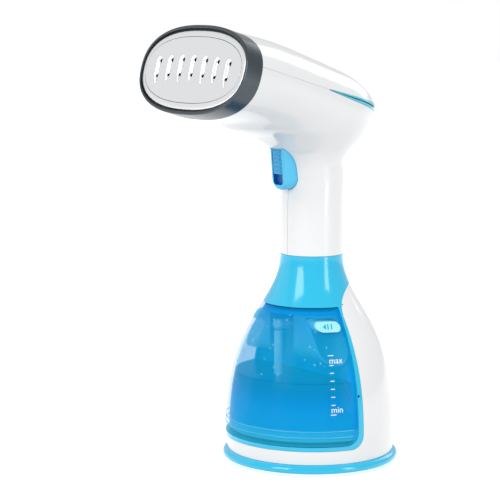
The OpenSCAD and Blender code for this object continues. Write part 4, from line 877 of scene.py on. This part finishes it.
outline = dict(half=TRIGGER_HALF, top=0.8, low=0.8 - TRIGGER_H, r_top=1.6, r_low=TRIGGER_HALF - 0.05)
slot = dict(half=LOCK_HALF + 0.3, top=-0.6, low=-LOCK_ROOM - 0.6, r_top=0.8, r_low=2.2)
back = on_trigger(pill(**outline), 6.0)
back[:, 1] = TRIGGER_BACK
edge = []
for t in np.linspace(0, math.pi / 2, 6):
    edge.append(on_trigger(pill(**outline, inset=GRIP_ROUND * (1 - math.cos(t))),
        GRIP_ROUND * (1 - math.sin(t))))
lips = [on_trigger(pill(**slot, inset=-0.35), 0.0), on_trigger(pill(**slot, inset=-0.08), 0.1),
    on_trigger(pill(**slot), 0.4)]
floor_ring = [on_trigger(pill(**slot), SLOT_DEPTH), on_trigger(pill(**slot, inset=0.6), SLOT_DEPTH)]
# The slot's walls and floor take the darker blue: painted shade in the recess
ring_solid("trigger_grip", [back] + edge + lips + floor_ring, "trigger", TRIGGER_ABS, SLOT_PAINTED_SHADE,
    replaces=["trigger"], slot_from=8)
shape = dict(half=LOCK_HALF, top=LOCK_TOP, low=LOCK_TOP - LOCK_LEN, r_top=0.9, r_low=0.9)
slider = [on_trigger(pill(**shape), SLOT_DEPTH - 0.1), on_trigger(pill(**shape), LOCK_SUNK)]
for t in (0.5, 1.0, 1.57):
    slider.append(on_trigger(pill(**shape, inset=LOCK_ROUND * (1 - math.cos(t))),
        LOCK_SUNK - LOCK_ROUND * math.sin(t)))
ring_solid("lock_slider_plate", slider, "lock_slider", SLIDER_ABS, replaces=["trigger_lock"])
print("trigger:", TRIGGER_H, "mm high; slider:", LOCK_LEN, "mm")

# %% [markdown]
# ## Repeats with Geometry Nodes
# What repeats is made once and copied by a node tree: a bar for the slider's grip and the level scale, a
# bead for the droplets. The tree turns its copies into real geometry, which then becomes a plain mesh.

# %% A tree that copies a bar along a line of places


def array_tree(name):
    """Geometry Nodes: copies a rounded bar to every point of its input; each point's 'turn' and 'grow'
    turn and size it."""
    tree = bpy.data.node_groups.new(name, "GeometryNodeTree")
    tree.is_modifier = True
    tree.interface.new_socket("Places", in_out="INPUT", socket_type="NodeSocketGeometry")
    for label, kind in (("Bar size", "NodeSocketVector"), ("Finish", "NodeSocketMaterial"),
                        ("Round", "NodeSocketBool")):
        tree.interface.new_socket(label, in_out="INPUT", socket_type=kind)
    tree.interface.new_socket("Copies", in_out="OUTPUT", socket_type="NodeSocketGeometry")
    enter, leave = tree.nodes.new("NodeGroupInput"), tree.nodes.new("NodeGroupOutput")
    cube = node(tree, "GeometryNodeMeshCube",
        {"Size": enter.outputs["Bar size"], "Vertices X": 4, "Vertices Y": 3, "Vertices Z": 3})
    bead = node(tree, "GeometryNodeMeshIcoSphere", {"Radius": 0.5, "Subdivisions": 3})
    bead_size = node(tree, "GeometryNodeTransform",
        {"Geometry": bead.outputs["Mesh"], "Scale": enter.outputs["Bar size"]})
    form = node(tree, "GeometryNodeSwitch",
        {"Switch": enter.outputs["Round"], "False": cube.outputs["Mesh"], "True": bead_size.outputs[0]},
        input_type="GEOMETRY")
    turn = node(tree, "GeometryNodeInputNamedAttribute", {"Name": "turn"}, data_type="FLOAT_VECTOR")
    grow = node(tree, "GeometryNodeInputNamedAttribute", {"Name": "grow"}, data_type="FLOAT_VECTOR")
    copies = node(tree, "GeometryNodeInstanceOnPoints",
        {"Points": enter.outputs["Places"], "Instance": form.outputs[0],
         "Rotation": turn.outputs["Attribute"], "Scale": grow.outputs["Attribute"]})
    real = node(tree, "GeometryNodeRealizeInstances", {0: copies.outputs["Instances"]})
    smooth = node(tree, "GeometryNodeSetShadeSmooth",
        {"Geometry": real.outputs[0], "Shade Smooth": enter.outputs["Round"]})
    painted = node(tree, "GeometryNodeSetMaterial",
        {"Geometry": smooth.outputs[0], "Material": enter.outputs["Finish"]})
    tree.links.new(painted.outputs[0], leave.inputs["Copies"])
    return tree


ARRAY = array_tree("copies_at_places")


def copy_to(name, places_mm, turns, grows, size_mm, finish, body, round_form=False):
    """Runs the tree over the places and keeps the result as a plain mesh piece on the body."""
    mesh = bpy.data.meshes.new(name + "_places")
    mesh.from_pydata((np.asarray(places_mm) * MM).tolist(), [], [])
    for label, rows in (("turn", turns), ("grow", grows)):
        data = mesh.attributes.new(label, "FLOAT_VECTOR", "POINT")
        data.data.foreach_set("vector", np.asarray(rows, dtype=np.float32).ravel())
    holder = bpy.data.objects.new(name + "_places", mesh)
    bpy.context.scene.collection.objects.link(holder)
    modifier = holder.modifiers.new("copies", "NODES")
    modifier.node_group = ARRAY
    sockets = {item.name: item.identifier for item in ARRAY.interface.items_tree if item.in_out == "INPUT"}
    modifier[sockets["Bar size"]] = [v * MM for v in size_mm]
    modifier[sockets["Finish"]] = finish
    modifier[sockets["Round"]] = round_form
    holder.update_tag()
    graph = bpy.context.evaluated_depsgraph_get()
    made = bpy.data.meshes.new_from_object(holder.evaluated_get(graph), depsgraph=graph)
    bpy.data.objects.remove(holder)
    piece = bpy.data.objects.new(name, made)
    bpy.context.scene.collection.objects.link(piece)
    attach(piece, body)
    if not round_form:
        round_edges(piece, 0.15, 2, 40)
    return piece


# %% Grip ridges on the slider
RIDGES = 6
rows = np.stack([np.zeros(RIDGES), LOCK_TOP - LOCK_LEN * (np.arange(RIDGES) + 0.9) / (RIDGES + 0.6)], 1)
tilt = [(-FACE_LEAN, 0, 0)] * RIDGES
copy_to("slider_ridges", on_trigger(rows, -0.05), tilt, [(1, 1, 1)] * RIDGES, (6.9, 0.9, 1.2), SLIDER_ABS,
    "lock_slider")

# %% [markdown]
# ## Water, level scale and droplets
# The water is a closed shape just inside the tank's walls, level at the top. The scale is a row of white
# ticks with "max" and "min". Small beads of water cling to the inside above the level.

# %% Water
WATER_LEVEL, TANK_FLOOR, TANK_REAR = 58.8, 22.0, -4.8
TANK_WALL, TANK_ANGLE = 2.4, math.radians(84)


def on_bell(angle, z, inset=0.0):
    """A point on the bell at an angle from the front, positive to the right."""
    r = bell_radius(np.asarray(z, float)) - inset
    return np.stack(np.broadcast_arrays(r * np.sin(angle), -r * np.cos(angle), z), -1)


def water_ring(z, inset):
    r = bell_radius(np.array([z]))[0] - TANK_WALL - inset
    limit = TANK_ANGLE - math.asin((TANK_WALL + inset) / r)
    turn = np.linspace(-limit, limit, 97)
    corner = (TANK_REAR - inset + (TANK_WALL + inset) / math.sin(TANK_ANGLE)) * -math.tan(TANK_ANGLE)
    outline = np.stack([r * np.sin(turn), -r * np.cos(turn)], 1)
    outline = np.concatenate([outline, [[corner, TANK_REAR - inset], [-corner, TANK_REAR - inset]]])
    return np.concatenate([outline, np.full((len(outline), 1), z)], 1)


levels = np.concatenate([[TANK_FLOOR + 0.1], np.arange(24, WATER_LEVEL - 1, 2.0),
    [WATER_LEVEL - 0.15, WATER_LEVEL]])
ring_solid("water", [water_ring(z, 0.12) for z in levels], "tank", WATER)

# %% Level scale
SCALE_ANGLE = math.radians(65.7)
TICKS = [76, 70.1, 65.5, 60.7, 55.8, 50.9, 45.9, 39.9]


def bell_lean(z):
    """How far the bell's wall leans inwards at a height."""
    return math.atan2(bell_radius(np.array([z - 1.0]))[0] - bell_radius(np.array([z + 1.0]))[0], 2.0)


tick_turns = [(-bell_lean(z), 0, SCALE_ANGLE) for z in TICKS]
tick_grow = [(1.25 if i in (0, len(TICKS) - 1) else 0.9, 1, 1) for i in range(len(TICKS))]
copy_to("scale_ticks", on_bell(SCALE_ANGLE, np.array(TICKS), -0.02), tick_turns, tick_grow,
    (3.0, 0.3, 0.55), PRINT_WHITE, "tank")


def print_word(word, angle, z, height_mm, finish, body):
    """A short word as thin raised letters on the bell's wall."""
    curve = bpy.data.curves.new("word_" + word, "FONT")
    curve.body, curve.size, curve.extrude = word, height_mm * MM, 0.12 * MM
    curve.resolution_u = 6
    holder = bpy.data.objects.new("word_" + word, curve)
    bpy.context.scene.collection.objects.link(holder)
    graph = bpy.context.evaluated_depsgraph_get()
    made = bpy.data.meshes.new_from_object(holder.evaluated_get(graph), depsgraph=graph)
    bpy.data.objects.remove(holder)
    for vertex in made.vertices:
        x, y, h = (v / MM for v in vertex.co)
        at = on_bell(angle + x / bell_radius(np.array([z]))[0], z + y, -0.02 - h)
        vertex.co = at * MM
    piece = bpy.data.objects.new("word_" + word, made)
    bpy.context.scene.collection.objects.link(piece)
    made.materials.clear()
    made.materials.append(finish)
    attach(piece, body)
    return piece


print_word("max", SCALE_ANGLE - 0.03, 71.2, 5.4, PRINT_WHITE, "tank")
print_word("min", SCALE_ANGLE - 0.03, 41.2, 5.4, PRINT_WHITE, "tank")

# %% Droplets on the inside
DROPLETS = 46
chance = np.random.default_rng(7)
drop_z = chance.uniform(WATER_LEVEL + 3, 99, DROPLETS)
drop_angle = chance.uniform(-1.25, 1.25, DROPLETS)
drop_size = chance.uniform(0.5, 1.5, DROPLETS) * chance.uniform(0.6, 1.0, DROPLETS)
drop_turns = [(-bell_lean(z), 0, a) for z, a in zip(drop_z, drop_angle)]
copy_to("droplets", on_bell(drop_angle, drop_z, TANK_WALL + 0.1), drop_turns,
        np.stack([drop_size] * 3, 1), (1.3, 0.6, 1.6), DROPLET, "tank", True)
print("tank:", len(TICKS), "ticks,", DROPLETS, "droplets")

# %% Tab grips
TAB_ANGLE, TAB_Z = math.radians(66), 93.0


def tab_marks(name, side, body):
    """Two upright ridges and a small arrow on a release tab's outer face."""
    ridge_angles = [side * (TAB_ANGLE + d) for d in (0.0, 0.06)]
    places = [on_bell(a, TAB_Z, -1.05) for a in ridge_angles]
    turns = [(-bell_lean(TAB_Z), 0, a) for a in ridge_angles]
    copy_to(name + "_ridges", places, turns, [(1, 1, 1)] * 2, (0.8, 0.6, 3.6), SLIDER_ABS, body)
    corners = [(-0.085, 0.0), (-0.035, 1.7), (-0.035, -1.7)]
    outer = [on_bell(side * (TAB_ANGLE + a), TAB_Z + b, -1.45) for a, b in corners]
    inner = [on_bell(side * (TAB_ANGLE + a), TAB_Z + b, -0.6) for a, b in corners]
    faces = [(0, 1, 2), (5, 4, 3)] + [(i, (i + 1) % 3, (i + 1) % 3 + 3, i + 3) for i in range(3)]
    arrow = face_out(make_piece(name + "_arrow", np.array(outer + inner), faces, body, SLIDER_ABS))
    arrow.data.shade_flat()
    round_edges(arrow, 0.15, 2, 40)


tab_marks("tab_right_marks", 1, "tab_right")
tab_marks("tab_left_marks", -1, "tab_left")


def bell_bar(name, z, half_angle, radius, finish, body):
    """A thin half-sunk bar that follows the bell's wall at a height."""
    turn = np.linspace(-half_angle, half_angle, 120)
    rings = []
    for k in range(8):
        a = 2 * math.pi * k / 8
        rings.append(on_bell(turn, z + radius * math.sin(a), -radius * math.cos(a)))
    points = np.stack(rings, 1).reshape(-1, 3)
    faces = quads_between(120, 8) + [tuple(range(8))[::-1], tuple(range(119 * 8, 120 * 8))]
    return face_out(make_piece(name, points, faces, body, finish))


for i, z in enumerate((29.3, 25.5)):
    bell_bar(f"tank_foot_line_{i + 1}", z, math.radians(80), 0.3, POCKET_CLEAR, "tank")

# %% [markdown]
# ## Softened edges
# Mouldings never have knife edges. The remaining large parts are copied from the frame, their doubled
# points are merged, and a small bevel rounds what is sharp.

# %% Soften the big mouldings


def soften(name, bevel_mm, finish, body="housing"):
    """A copy of a frame part with its doubled points merged and its sharp edges rounded."""
    source = nodes[name]
    mesh = bmesh.new()
    mesh.from_mesh(source.data)
    bmesh.ops.transform(mesh, matrix=source.matrix_world, verts=mesh.verts)
    bmesh.ops.remove_doubles(mesh, verts=mesh.verts, dist=0.002 * MM)
    bmesh.ops.dissolve_limit(mesh, angle_limit=math.radians(0.4), verts=mesh.verts, edges=mesh.edges)
    copy = bpy.data.meshes.new(name + "_soft")
    mesh.to_mesh(copy)
    mesh.free()
    copy.shade_smooth()
    copy.set_sharp_from_angle(angle=math.radians(32))
    copy.materials.clear()
    copy.materials.append(finish)
    piece = bpy.data.objects.new(name + "_soft", copy)
    bpy.context.scene.collection.objects.link(piece)
    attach(piece, body)
    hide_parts(name)
    return round_edges(piece, bevel_mm, 2, 40)


soften("base_ring", 0.4, BLUE_ABS)
soften("collar_frame", EDGE_ROUND, BLUE_ABS)
soften("rear_housing", EDGE_ROUND, WHITE_ABS)
soften("tank_front", 0.25, TANK_CLEAR, "tank")
soften("release_tab_right", 0.35, TAB_CLEAR, "tab_right")
soften("release_tab_left", 0.35, TAB_CLEAR, "tab_left")
print("softened six mouldings")
